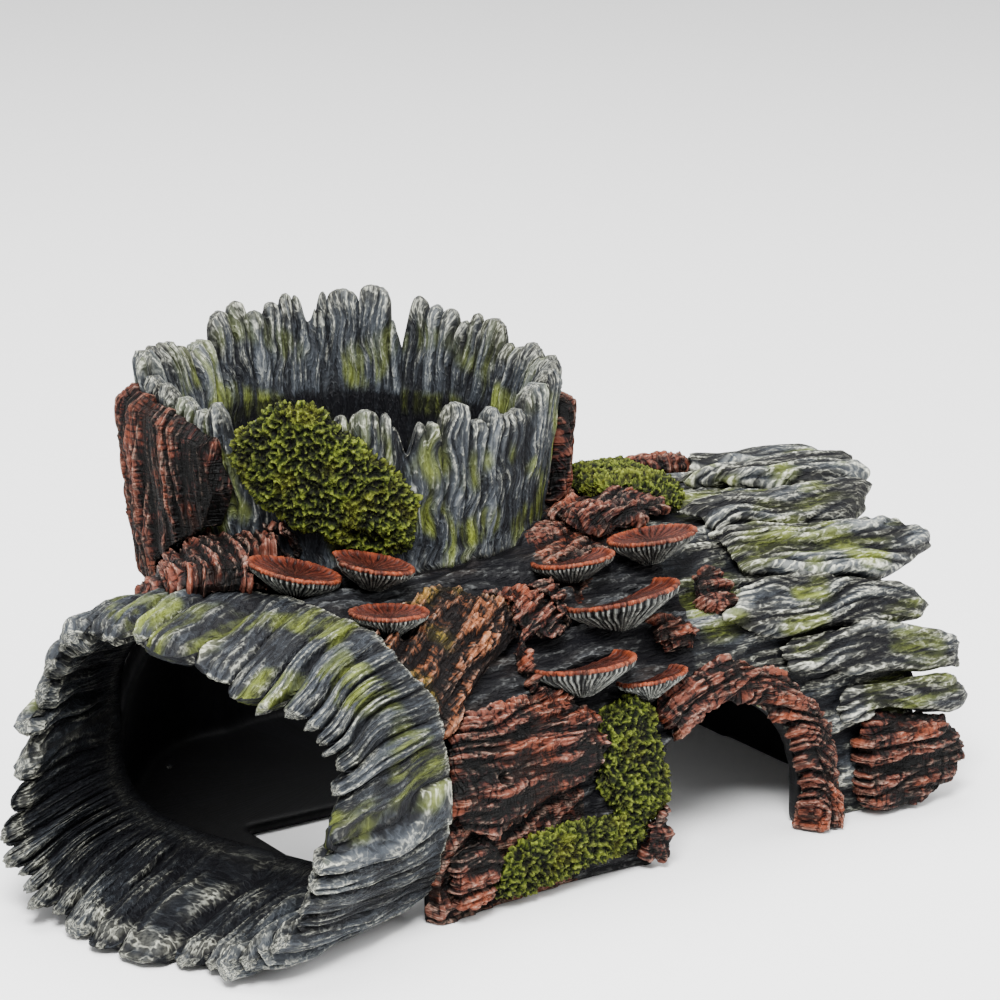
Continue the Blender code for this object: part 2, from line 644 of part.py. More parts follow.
def root_solid(grow):
    """The root as a round limb along its path."""
    path = root_path()
    shape = bmesh.new()
    rings = []
    for index, centre in enumerate(path):
        before = path[max(index - 1, 0)]
        after = path[min(index + 1, len(path) - 1)]
        forward = (after - before).normalized()
        outward = Vector((0, -1, 0))
        side = forward.cross(outward).normalized()
        outward = side.cross(forward).normalized()
        swell = 1.0 + 0.14 * math.sin(2.1 * index) + ROOT_LEG_SWELL * max(0, index - ROOT_STEPS + 2) / 3
        radius = ROOT_RADIUS * swell + grow
        corners = []
        for step in range(ROOT_SECTION_STEPS):
            angle = math.tau * step / ROOT_SECTION_STEPS
            spot = centre + side * radius * math.cos(angle) + outward * radius * math.sin(angle)
            corners.append(shape.verts.new(spot))
        ring = [shape.edges.new((corners[i - 1], corners[i])) for i in range(ROOT_SECTION_STEPS)]
        rings.append(ring)
    for first, second in zip(rings, rings[1:]):
        bmesh.ops.bridge_loops(shape, edges=first + second)
    bmesh.ops.holes_fill(shape, edges=[edge for edge in shape.edges if edge.is_boundary])
    return shape


def stump_clearance():
    """The stump and its crown, grown by the bond gap, as one solid to cut its pads with."""
    top = CROWN_RIM_Z + CROWN_RIM_SLOPE + CROWN_FINGER_HEIGHT
    shape = bmesh.new()
    profile = (
        (0.0, -2 * GROUND_DEPTH),
        (STUMP_RADIUS + BOND_GAP, -2 * GROUND_DEPTH),
        (STUMP_RADIUS + BOND_GAP, STUMP_SEAT_Z),
        (stump_radius(top) + BOND_GAP, top),
        (stump_radius(top) + BOND_GAP, 1.1 * top),
        (0.0, 1.1 * top),
    )
    points = [shape.verts.new((side, 0, height)) for side, height in profile]
    edges = [shape.edges.new(pair) for pair in zip(points, points[1:])]
    bmesh.ops.spin(
        shape,
        geom=points + edges,
        cent=(0, 0, 0),
        axis=(0, 0, 1),
        angle=math.tau,
        steps=STUMP_STEPS,
        use_merge=True,
    )
    bmesh.ops.remove_doubles(shape, verts=shape.verts, dist=1e-6)
    bmesh.ops.translate(shape, verts=shape.verts, vec=(STUMP_X, STUMP_Y, 0))
    return shape


def bounds(made):
    """The corners of an object's mesh."""
    places = np.array([made.matrix_world @ vert.co for vert in made.data.vertices])
    return places.min(axis=0), places.max(axis=0)


def near(first, second):
    """Whether two objects' boxes come within reach of each other."""
    low_a, high_a = bounds(first)
    low_b, high_b = bounds(second)
    return bool(np.all(low_a <= high_b) and np.all(low_b <= high_a))


def centre_on_floor(parts):
    """Hangs every casting on an empty that puts the middle of their box's bottom at the origin."""
    bpy.context.view_layer.update()
    graph = bpy.context.evaluated_depsgraph_get()
    corners = []
    for made in parts.objects:
        evaluated = made.evaluated_get(graph)
        mesh = evaluated.to_mesh()
        corners.extend(vert.co.copy() for vert in mesh.vertices)
        evaluated.to_mesh_clear()
    places = np.array(corners)
    middle = (places.min(axis=0) + places.max(axis=0)) / 2
    holder = bpy.data.objects.new("ornament_origin", None)
    bpy.context.scene.collection.objects.link(holder)
    for made in list(parts.objects) + list(bpy.data.collections["cutters"].objects):
        made.parent = holder
    holder.location = (-middle[0], -middle[1], -places.min(axis=0)[2])


class Assembly:
    """The applied castings in the order they are bonded on: each later one is cut to clear the earlier ones."""

    def __init__(self, parts, cutters, carriers):
        """Keeps the collections and the solids that every applied casting is cut by."""
        self.parts = parts
        self.cutters = cutters
        self.carriers = carriers
        self.clearances = []

    def add(self, name, solid, material, extra=None):
        """Adds a casting: solid(grow) makes its body, and extra(grow) one that is joined to it."""
        made = finish_object(name, solid(0.0), self.parts, material)
        clearance = finish_object(f"{name}_clearance", solid(NEIGHBOUR_GAP), self.cutters)
        if extra:
            combine(made, finish_object(f"{name}_extra", extra(0.0), self.cutters), "UNION")
            combine(clearance, finish_object(f"{name}_extra_clearance", extra(NEIGHBOUR_GAP), self.cutters), "UNION")
        for carrier in self.carriers:
            if near(made, carrier) or extra:
                combine(made, carrier)
        for earlier in self.clearances:
            if near(made, earlier) or extra or earlier.modifiers:
                combine(made, earlier)
        self.clearances.append(clearance)
        return made


def main():
    """Builds every casting."""
    clear_scene()
    parts = new_collection("resin_cave_ornament")
    cutters = new_collection("cutters")
    reach = 3 * LOG_TAIL_X
    ground = finish_object("ground", box((-reach, -reach, -12 * GROUND_DEPTH), (reach, reach, 0.0)), cutters)
    driftwood = painted_resin("weathered_grey", (0.16, 0.17, 0.18), 0.7)
    bark = painted_resin("red_brown_bark", (0.20, 0.08, 0.05), 0.75)
    moss = painted_resin("yellow_green_moss", (0.20, 0.24, 0.03), 0.85)
    fungus = painted_resin("orange_fungus", (0.42, 0.12, 0.05), 0.6)
    make_log_shell(parts, cutters, driftwood)
    make_mouth_flare(parts, driftwood)
    make_stump_crown(parts, driftwood)
    log_end = 1.0 + BOND_GAP / (LOG_TAIL_X - MOUTH_X)
    log_cut = finish_object("log_clearance", log_solid(BOND_GAP, 0.0, log_end, -2 * GROUND_DEPTH), cutters)
    stump_cut = finish_object("stump_clearance", stump_clearance(), cutters)
    flare_cut = finish_object("flare_clearance", flare_clearance(), cutters)
    assembly = Assembly(parts, cutters, (log_cut, flare_cut, stump_cut, ground))
    for cap in MUSHROOMS:
        assembly.add(cap.name, lambda grow, cap=cap: mushroom_solid(cap, grow), fungus)
    assembly.add("root_arch", root_solid, bark)
    for pad in STUMP_MOSS + LOG_MOSS:
        skirt = (lambda grow: pad_solid(MOSS_SKIRT, grow)) if pad.name == "moss_front" else None
        assembly.add(pad.name, lambda grow, pad=pad: pad_solid(pad, grow), moss, skirt)
    for pad in SHOULDER_BARK + STUMP_BARK + LOG_BARK:
        assembly.add(pad.name, lambda grow, pad=pad: pad_solid(pad, grow), bark)
    for pad in STRANDS:
        assembly.add(pad.name, lambda grow, pad=pad: pad_solid(pad, grow), driftwood)
    centre_on_floor(parts)


main()
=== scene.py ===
"""Looks of the resin cave ornament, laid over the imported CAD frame.

Each CAD casting is stood for by a finely carved copy of itself: wood grain, bark cracks, moss threads and
mushroom gills are cut into the surface, and the paint follows the carving as a dark wash and a pale
dry-brush do on resin. The two collars of fingers are turned anew on the CAD's sizes.
"""

import logging
import math
from collections.abc import Callable
from dataclasses import dataclass, replace
from enum import Enum
from typing import ClassVar

import bmesh
import bpy
import numpy as np
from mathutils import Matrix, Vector


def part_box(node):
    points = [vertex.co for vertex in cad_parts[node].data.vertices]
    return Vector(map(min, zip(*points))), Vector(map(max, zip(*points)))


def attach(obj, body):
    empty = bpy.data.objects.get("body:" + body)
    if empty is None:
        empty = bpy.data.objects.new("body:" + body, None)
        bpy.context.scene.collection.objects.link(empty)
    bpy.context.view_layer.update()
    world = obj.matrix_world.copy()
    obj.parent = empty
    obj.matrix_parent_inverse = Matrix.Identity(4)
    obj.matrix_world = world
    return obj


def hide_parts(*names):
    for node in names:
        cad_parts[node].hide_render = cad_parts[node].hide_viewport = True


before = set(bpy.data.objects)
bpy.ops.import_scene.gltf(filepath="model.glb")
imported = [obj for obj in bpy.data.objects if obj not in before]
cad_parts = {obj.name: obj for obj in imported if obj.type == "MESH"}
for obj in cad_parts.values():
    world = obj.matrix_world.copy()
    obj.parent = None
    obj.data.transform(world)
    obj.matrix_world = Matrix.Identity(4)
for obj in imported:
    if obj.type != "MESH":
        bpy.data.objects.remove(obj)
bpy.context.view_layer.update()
LOG = logging.getLogger("ornament")
Array = np.ndarray
Tree = bpy.types.NodeTree
Socket = bpy.types.NodeSocket
Triple = tuple[float, float, float]
Feed = Socket | float | tuple[float, ...]
NUMBER = "NodeSocketFloat"
VECTOR = "NodeSocketVector"
MM = 0.001


@dataclass(frozen=True)
class Layout:
    """Driving sizes shared with the CAD, in millimetres, and where its drawing origin lies in the frame."""

    tail_x: float = 100.0
    mouth_x: float = -60.0
    mouth_y: float = -28.0
    mouth_z: float = 34.0
    mouth_turn: float = math.radians(21.5)
    stump_x: float = -8.0
    stump_y: float = 18.0
    stump_radius: float = 46.0
    stump_bore: float = 41.5
    seat_z: float = 72.0
    log_middle_y: float = -8.0
    log_axis_z: float = 12.0
    log_radius: float = 58.0

    def mouth_facing(self) -> Array:
        """Which way the mouth faces, in plan."""
        return np.array([-math.cos(self.mouth_turn), -math.sin(self.mouth_turn)])

    def mouth_side(self) -> Array:
        """Which way runs across the mouth to its front side, in plan."""
        return np.array([math.sin(self.mouth_turn), -math.cos(self.mouth_turn)])

    def shift(self) -> Array:
        """Where the drawing origin lies in the frame.

        Returns:
            The offset from drawing to frame, in millimetres.
        """
        high = np.array(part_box("log_shell")[1]) / MM
        return np.array([high[0] - self.tail_x, high[1] - self.stump_y - self.stump_radius, 0.0])


LAYOUT = Layout()
SHIFT = LAYOUT.shift()


class Carrier(Enum):
    """Which surface a piece's grain follows."""

    LOG = "log"
    STUMP = "stump"


class LatticeNoise:
    """Smooth random values over space, the same on every run."""

    def __init__(self, seed: int) -> None:
        """Draws the lattice.

        Args:
            seed: Number that fixes the draw.
        """
        draw = np.random.default_rng(seed)
        self.order = np.tile(draw.permutation(256), 3)
        slopes = draw.normal(size=(256, 3))
        self.slopes = slopes / np.linalg.norm(slopes, axis=1, keepdims=True)

    def value(self, x: Array, y: Array, z: Array | float = 0.0) -> Array:
        """Smooth values between about -1 and 1.

        Args:
            x: First coordinate of each place.
            y: Second coordinate.
            z: Third coordinate, or one number for all places.

        Returns:
            One value for each place.
        """
        places = np.stack([x, y, np.broadcast_to(z, x.shape)], axis=1)
        cell = np.floor(places).astype(np.int64)
        part = places - cell
        fade = part**3 * (part * (part * 6 - 15) + 10)
        cell &= 255
        total = np.zeros(len(x))
        for corner in np.ndindex(2, 2, 2):
            index = self.order[cell[:, 0] + corner[0]]
            index = self.order[index + cell[:, 1] + corner[1]]
            index = self.order[index + cell[:, 2] + corner[2]]
            weight = np.prod(np.where(corner, fade, 1 - fade), axis=1)
            total += weight * np.einsum("ij,ij->i", self.slopes[index], part - corner)
        return total * 1.7

    def grooves(self, x: Array, y: Array, z: Array | float, sharpness: float = 3.0) -> Array:
        """Narrow lines that wander along x, 1 on a line and 0 beside it, narrower if sharper."""
        return np.clip(1 - np.abs(self.value(x, y, z)) * sharpness, 0, 1)


NOISE = LatticeNoise(21)


def smooth_step(values: Array, low: float, high: float) -> Array:
    """Eases from 0 to 1.

    Args:
        values: What to ease.
        low: Value that gives 0.
        high: Value that gives 1.

    Returns:
        Eased values.
    """
    share = np.clip((values - low) / (high - low), 0, 1)
    return share * share * (3 - 2 * share)


def above(values: Array, limit: float, blend: float) -> Array:
    """1 where values are over a limit, fading to 0 over a blend below it."""
    return smooth_step(values, limit - blend, limit)


def below(values: Array, limit: float, blend: float) -> Array:
    """1 where values are under a limit, fading to 0 over a blend above it."""
    return smooth_step(-values, -limit - blend, -limit)


class Skin:
    """A mesh held as arrays in millimetres while it is carved."""

    def __init__(self, mesh: bpy.types.Mesh) -> None:
        """Reads the mesh.

        Args:
            mesh: Mesh in metres, in the frame.
        """
        self.mesh = mesh
        count = len(mesh.vertices)
        flat = np.empty(count * 3, np.float32)
        mesh.vertices.foreach_get("co", flat)
        self.places = flat.reshape(-1, 3).astype(np.float64) / MM
        ends = np.empty(len(mesh.edges) * 2, np.int32)
        mesh.edges.foreach_get("vertices", ends)
        self.ends = ends.reshape(-1, 2)
        self.degree = np.bincount(ends, minlength=count).clip(1)
        self.normals = self.read_normals()

    def read_normals(self) -> Array:
        """Vertex normals of the mesh as it stands.

        Returns:
            One unit vector for each vertex.
        """
        flat = np.empty(len(self.mesh.vertices) * 3, np.float32)
        self.mesh.vertex_normals.foreach_get("vector", flat)
        return flat.reshape(-1, 3).astype(np.float64)

    def neighbours_mean(self, values: Array) -> Array:
        """Mean over each vertex's neighbours.

        Args:
            values: One value for each vertex.

        Returns:
            One mean for each vertex.
        """
        first, second = self.ends.T
        count = len(self.degree)
        total = np.bincount(first, weights=values[second], minlength=count)
        total += np.bincount(second, weights=values[first], minlength=count)
        return total / self.degree

    def relaxed(self, rounds: int) -> Array:
        """The places after some rounds of averaging with neighbours.

        Args:
            rounds: How many rounds.

        Returns:
            Smoothed places.
        """
        places = self.places.copy()
        for _ in range(rounds):
            for axis in range(3):
                places[:, axis] += 0.6 * (self.neighbours_mean(places[:, axis]) - places[:, axis])
        return places

    def set_places(self, places: Array) -> None:
        """Moves the vertices.

        Args:
            places: New places, in millimetres.
        """
        self.places = places
        self.mesh.vertices.foreach_set("co", (places * MM).astype(np.float32).ravel())
        self.mesh.update()
        self.normals = self.read_normals()

    def push(self, depth: Array) -> None:
        """Moves each vertex along its normal, by millimetres."""
        self.set_places(self.places + self.normals * depth[:, None])

    def prominence(self, rounds: int) -> Array:
        """How far each vertex stands above its surroundings, which are wider with more rounds."""
        return np.einsum("ij,ij->i", self.places - self.relaxed(rounds), self.normals)

    def store(self, name: str, values: Array) -> None:
        """Keeps a value from 0 to 1 for each vertex, as an attribute that the paint reads."""
        layer = self.mesh.attributes.new(name, "FLOAT", "POINT")
        layer.data.foreach_set("value", np.clip(values, 0, 1).astype(np.float32))

    def store_grain(self, along: Array, across: Array, through: Array | float = 0.0) -> None:
        """Keeps coordinates along and across the grain for the paint's fine lines.

        Args:
            along: Distance along the grain, in millimetres.
            across: Distance across it.
            through: Distance into the surface, or one number for all places.
        """
        layer = self.mesh.attributes.new("grain", "FLOAT_VECTOR", "POINT")
        values = np.stack([along, across, np.broadcast_to(through, along.shape)], axis=1)
        layer.data.foreach_set("vector", values.astype(np.float32).ravel())

    def paint_faces(self, choice: Array) -> None:
        """Gives each face the material that its first vertex chose.

        Args:
            choice: Place of a material in the mesh's list, for each vertex.
        """
        loops = np.empty(len(self.mesh.loops), np.int32)
        self.mesh.loops.foreach_get("vertex_index", loops)
        starts = np.empty(len(self.mesh.polygons), np.int32)
        self.mesh.polygons.foreach_get("loop_start", starts)
        self.mesh.polygons.foreach_set("material_index", choice[loops[starts]].astype(np.int32))

    def grain(self, carrier: Carrier, turn: float) -> tuple[Array, Array]:
        """Coordinates along and across the grain.

        Args:
            carrier: Surface that the grain follows.
            turn: Angle of the grain on that surface, in degrees.

        Returns:
            Along and across, in millimetres.
        """
        x, y, z = (self.places - SHIFT).T
        if carrier is Carrier.STUMP:
            along = z
            across = LAYOUT.stump_radius * np.arctan2(y - LAYOUT.stump_y, -(x - LAYOUT.stump_x))
        else:
            along = x
            across = LAYOUT.log_radius * np.arctan2(z - LAYOUT.log_axis_z, LAYOUT.log_middle_y - y)
        cosine, sine = math.cos(math.radians(turn)), math.sin(math.radians(turn))
        return along * cosine + across * sine, across * cosine - along * sine


class Wiring:
    """Adds shader nodes to a material or to a node group."""

    def __init__(self, tree: Tree) -> None:
        """Takes the nodes to add to."""
        self.tree = tree

    def add(self, kind: str, output: str, feeds: dict[str | int, Feed], **settings: object) -> Socket:
        """Adds one node.

        Args:
            kind: Node's type, without its first word.
            output: Output that is wanted.
            feeds: What feeds each input, a socket or a plain value.
            settings: Properties that are set before the inputs.

        Returns:
            The output's socket.
        """
        node = self.tree.nodes.new(f"ShaderNode{kind}")
        for name, setting in settings.items():
            setattr(node, name, setting)
        for key, value in feeds.items():
            if isinstance(value, bpy.types.NodeSocket):
                self.tree.links.new(value, node.inputs[key])
            else:
                node.inputs[key].default_value = value
        return node.outputs[output]

    def attribute(self, name: str, output: str = "Fac") -> Socket:
        """An attribute of the mesh, as a value or as a vector."""
        return self.add("Attribute", output, {}, attribute_name=name)

    def math(
        self, operation: str, first: Feed, second: Feed = 0.0, third: Feed = 0.0, clamp: bool = True
    ) -> Socket:
        """A sum, product or the like, kept between 0 and 1 where it is clamped."""
        feeds = {0: first, 1: second, 2: third}
        return self.add("Math", "Value", feeds, operation=operation, use_clamp=clamp)

    def noise(self, place: Socket, scale: float, detail: float) -> Socket:
        """Smooth noise over some coordinates, about 0.5 on average."""
        return self.add("TexNoise", "Fac", {"Vector": place, "Scale": scale, "Detail": detail})

    def grain_noise(self, stretch: Socket, detail: float) -> Socket:
        """Noise that runs along the grain, with cells for each millimetre along, across and into it."""
        feeds = {0: self.attribute("grain", "Vector"), 1: stretch}
        return self.noise(self.add("VectorMath", "Vector", feeds, operation="MULTIPLY"), 1.0, detail)

    def lay_over(self, share: Socket, under: Socket, over: Triple) -> Socket:
        """A plain colour laid over another one by a share."""
        return self.add("Mix", "Result", {"Factor": share, "A": under, "B": (*over, 1.0)}, data_type="RGBA")

    def ramp(self, level: Socket, stops: tuple[tuple[float, Triple], ...]) -> Socket:
        """A colour ramp over a value.

        Args:
            level: Value from 0 to 1.
            stops: Positions and colours.

        Returns:
            The colour's socket.
        """
        colour = self.add("ValToRGB", "Color", {"Fac": level})
        elements = colour.node.color_ramp.elements
        while len(elements) < len(stops):
            elements.new(0.5)
        for element, (place, shade) in zip(elements, stops):
            element.position = place
            element.color = (*shade, 1.0)
        return colour


@dataclass(frozen=True)
class Effect:
    """A shader node group with named inputs and one mask, built once and placed in each paint."""

    name: str
    inputs: dict[str, str]
    fill: Callable[[Wiring, dict[str, Socket]], Socket]

    def group(self) -> Tree:
        """The group, built when it is first asked for.

        Returns:
            The group's nodes.
        """
        if self.name in bpy.data.node_groups:
            return bpy.data.node_groups[self.name]
        tree = bpy.data.node_groups.new(self.name, "ShaderNodeTree")
        for name, kind in self.inputs.items():
            tree.interface.new_socket(name, in_out="INPUT", socket_type=kind)
        tree.interface.new_socket("mask", in_out="OUTPUT", socket_type=NUMBER)
        entry = tree.nodes.new("NodeGroupInput")
        mask = self.fill(Wiring(tree), {name: entry.outputs[name] for name in self.inputs})
        tree.links.new(mask, tree.nodes.new("NodeGroupOutput").inputs["mask"])
        return tree

    def place(self, wiring: Wiring, **feeds: Feed) -> Socket:
        """The effect's mask in a paint, with the paint's own values."""
        return wiring.add("Group", "mask", feeds, node_tree=self.group())


def fill_lines(wiring: Wiring, inputs: dict[str, Socket]) -> Socket:
    """Thin wandering lines.

    Args:
        wiring: Group's nodes.
        inputs: The group's stretch and sharpness.

    Returns:
        A mask that is 1 on the lines and 0 between them.
    """
    centred = wiring.math("SUBTRACT", wiring.grain_noise(inputs["stretch"], 2.0), 0.5, clamp=False)
    distance = wiring.math("ABSOLUTE", centred, clamp=False)
    fall = wiring.math("MULTIPLY", distance, inputs["sharpness"], clamp=False)
    return wiring.math("SUBTRACT", 1.0, fall)


def fill_tint(wiring: Wiring, inputs: dict[str, Socket]) -> Socket:
    """Streaks of tint within its patches, stronger on raised wood.

    Args:
        wiring: Group's nodes.
        inputs: The group's level and stretch.

    Returns:
        A mask that is 1 where the tint lies.
    """
    streaks = wiring.math("MULTIPLY_ADD", wiring.grain_noise(inputs["stretch"], 3.0), 5.0, -2.1)
    tinted = wiring.math("MULTIPLY", wiring.attribute("tint"), streaks)
    return wiring.math("MULTIPLY", tinted, wiring.math("MULTIPLY_ADD", inputs["level"], 0.9, 0.05))


def fill_brush(wiring: Wiring, inputs: dict[str, Socket]) -> Socket:
    """Dry-brush on edges, caught by the lines and broken up by specks.

    Args:
        wiring: Group's nodes.
        inputs: The group's lines, speck and share.

    Returns:
        A mask that is 1 where the brush has touched.
    """
    dab = wiring.math("MULTIPLY_ADD", inputs["speck"], 2.4, -0.6)
    caught = wiring.math("MULTIPLY_ADD", inputs["lines"], 0.90, 0.10)
    touched = wiring.math("MULTIPLY", wiring.attribute("edge"), caught)
    return wiring.math("MULTIPLY", wiring.math("MULTIPLY", touched, dab), inputs["share"])


GRAIN_LINES = Effect("grain_lines", {"stretch": VECTOR, "sharpness": NUMBER}, fill_lines)
TINT_STREAKS = Effect("tint_streaks", {"level": NUMBER, "stretch": VECTOR}, fill_tint)
DRY_BRUSH = Effect("dry_brush", {"lines": NUMBER, "speck": NUMBER, "share": NUMBER}, fill_brush)


@dataclass(frozen=True)
class ResinPaint:
    """Hand paint on cast resin: base colours by carved height, a tint in patches and a pale dry-brush.

    The dry-brush catches on thin raised lines, and dark wash lies in thin cuts. Both run along the grain.
    """

    name: str
    stops: tuple[tuple[float, Triple], ...]
    tint: Triple
    brush: Triple
    brush_share: float
    roughness: float
    grit: float
    line_stretch: Triple = (0.24, 0.85, 0.3)
    line_sharpness: float = 15.0
    line_lift: float = 0.22
    cut_stretches: tuple[Triple, ...] = ((0.07, 0.50, 0.2),)
    cut_sharpness: float = 11.0
    cut_depth: float = 0.25
    streak_stretch: Triple = (0.05, 0.32, 0.1)
    speck_scale: float = 900.0
    speck_lift: float = 0.34
    shine: float = 0.12
    bump_depth: float = 0.0010

    def relief(self, wiring: Wiring, speck: Socket, lines: Socket) -> Socket:
        """Fine relief: specks and lines stand up and cuts sink in.

        Args:
            wiring: Material's nodes.
            speck: Speck noise.
            lines: Raised lines.

        Returns:
            The relief's socket, about 0 on average.
        """
        middle = -self.speck_lift / 2 - 0.2 * self.line_lift
        total = wiring.math("MULTIPLY_ADD", speck, self.speck_lift, middle, clamp=False)
        total = wiring.math("ADD", total, wiring.math("MULTIPLY", lines, self.line_lift), clamp=False)
        for stretch in self.cut_stretches:
            cuts = GRAIN_LINES.place(wiring, stretch=stretch, sharpness=self.cut_sharpness)
            sunk = wiring.math("MULTIPLY", cuts, self.cut_depth)
            total = wiring.math("SUBTRACT", total, sunk, clamp=False)
        return total

    def material(self) -> bpy.types.Material:
        """Builds the paint's material.

        Returns:
            The material.
        """
        material = bpy.data.materials.new(self.name)
        material.use_nodes = True
        wiring = Wiring(material.node_tree)
        speck = wiring.noise(wiring.add("TexCoord", "Object", {}), self.speck_scale, 3.0)
        lines = GRAIN_LINES.place(wiring, stretch=self.line_stretch, sharpness=self.line_sharpness)
        relief = self.relief(wiring, speck, lines)
        # On the collars the height attribute also holds the painted shade of their inner faces.
        level = wiring.math("ADD", wiring.attribute("height"), relief)
        tinted = TINT_STREAKS.place(wiring, level=level, stretch=self.streak_stretch)
        brushed = DRY_BRUSH.place(wiring, lines=lines, speck=speck, share=self.brush_share)
        colour = wiring.lay_over(tinted, wiring.ramp(level, self.stops), self.tint)
        colour = wiring.lay_over(brushed, colour, self.brush)
        bump = {"Strength": self.grit, "Distance": self.bump_depth, "Height": relief}
        shader = material.node_tree.nodes["Principled BSDF"]
        material.node_tree.links.new(colour, shader.inputs["Base Color"])
        material.node_tree.links.new(wiring.add("Bump", "Normal", bump), shader.inputs["Normal"])
        shader.inputs["Roughness"].default_value = self.roughness
        shader.inputs["Specular IOR Level"].default_value = self.shine
        return material


DRIFTWOOD = ResinPaint(
    name="driftwood_paint",
    stops=(
        (0.0, (0.002, 0.002, 0.003)),
        (0.34, (0.008, 0.009, 0.011)),
        (0.70, (0.032, 0.037, 0.044)),
        (1.0, (0.085, 0.094, 0.102)),
    ),
    tint=(0.190, 0.230, 0.016),
    brush=(0.70, 0.70, 0.57),
    brush_share=1.0,
    roughness=0.62,
    grit=0.8,
)
# Dark base paint with painted shade, for the log's front between the bark plates and for its tail end.
DARK_WOOD_AND_SHADE = ResinPaint(
    name="dark_wood_and_shade_paint",
    stops=((0.0, (0.001, 0.001, 0.002)), (0.6, (0.005, 0.005, 0.006)), (1.0, (0.026, 0.028, 0.032))),
    tint=(0.020, 0.012, 0.008),
    brush=(0.30, 0.31, 0.30),
    brush_share=0.35,
    roughness=0.60,
    grit=0.8,
)
BARK = ResinPaint(
    name="bark_paint",
    stops=(
        (0.0, (0.001, 0.001, 0.001)),
        (0.26, (0.010, 0.003, 0.003)),
        (0.55, (0.075, 0.021, 0.013)),
        (1.0, (0.130, 0.036, 0.022)),
    ),
    tint=(0.210, 0.044, 0.014),
    brush=(0.58, 0.40, 0.31),
    brush_share=0.52,
    roughness=0.60,
    grit=0.9,
    line_stretch=(0.30, 1.2, 0.3),
    line_sharpness=12.0,
    cut_stretches=((0.11, 0.60, 0.2), (0.50, 0.14, 0.2)),
    cut_depth=0.38,
)
MOSSY_BARK = replace(
    BARK,
    name="mossy_bark_paint",
    stops=(
        (0.0, (0.002, 0.001, 0.001)),
        (0.24, (0.016, 0.006, 0.003)),
        (0.52, (0.105, 0.034, 0.013)),
        (1.0, (0.240, 0.080, 0.030)),
    ),
    tint=(0.230, 0.190, 0.020),
    streak_stretch=(0.07, 0.2, 0.1),
)
MOSS = ResinPaint(
    name="moss_paint",
    stops=(
        (0.0, (0.001, 0.001, 0.001)),
        (0.40, (0.003, 0.005, 0.001)),
        (0.70, (0.018, 0.027, 0.002)),
        (1.0, (0.072, 0.092, 0.007)),
    ),
    tint=(0.100, 0.100, 0.007),
    brush=(0.30, 0.34, 0.06),
    brush_share=0.50,
    roughness=0.75,
    grit=1.0,
    line_stretch=(0.62, 0.62, 0.62),
    line_sharpness=6.0,
    line_lift=0.50,
    cut_stretches=((0.45, 0.45, 0.45),),
    cut_depth=0.30,
    streak_stretch=(0.2, 0.2, 0.2),
)
CAP_TOP = ResinPaint(
    name="mushroom_top_paint",
    stops=(
        (0.0, (0.003, 0.001, 0.001)),
        (0.45, (0.010, 0.003, 0.002)),
        (0.80, (0.040, 0.008, 0.005)),
        (1.0, (0.086, 0.018, 0.009)),
    ),
    tint=(0.190, 0.036, 0.012),
    brush=(0.58, 0.29, 0.18),
    brush_share=0.25,
    roughness=0.50,
    grit=0.5,
    line_stretch=(0.20, 1.0, 0.3),
)
GILLS = ResinPaint(
    name="mushroom_gill_paint",
    stops=((0.0, (0.002, 0.002, 0.002)), (0.55, (0.008, 0.009, 0.010)), (1.0, (0.060, 0.064, 0.064))),
    tint=(0.060, 0.062, 0.050),
    brush=(0.56, 0.57, 0.50),
    brush_share=0.9,
    roughness=0.60,
    grit=0.5,
    line_stretch=(0.12, 1.3, 0.3),
    line_sharpness=8.0,
    line_lift=0.2,
)
# Near-black paint for the hollow's walls and floor: dark inner paint that also carries the hollow's painted
# shade.
BLACK_AND_SHADE = ResinPaint(
    name="inner_black_and_shade_paint",
    stops=((0.0, (0.001, 0.001, 0.001)), (1.0, (0.004, 0.004, 0.005))),
    tint=(0.004, 0.004, 0.005),
    brush=(0.02, 0.02, 0.02),
    brush_share=0.0,
    roughness=0.55,
    grit=0.15,
)


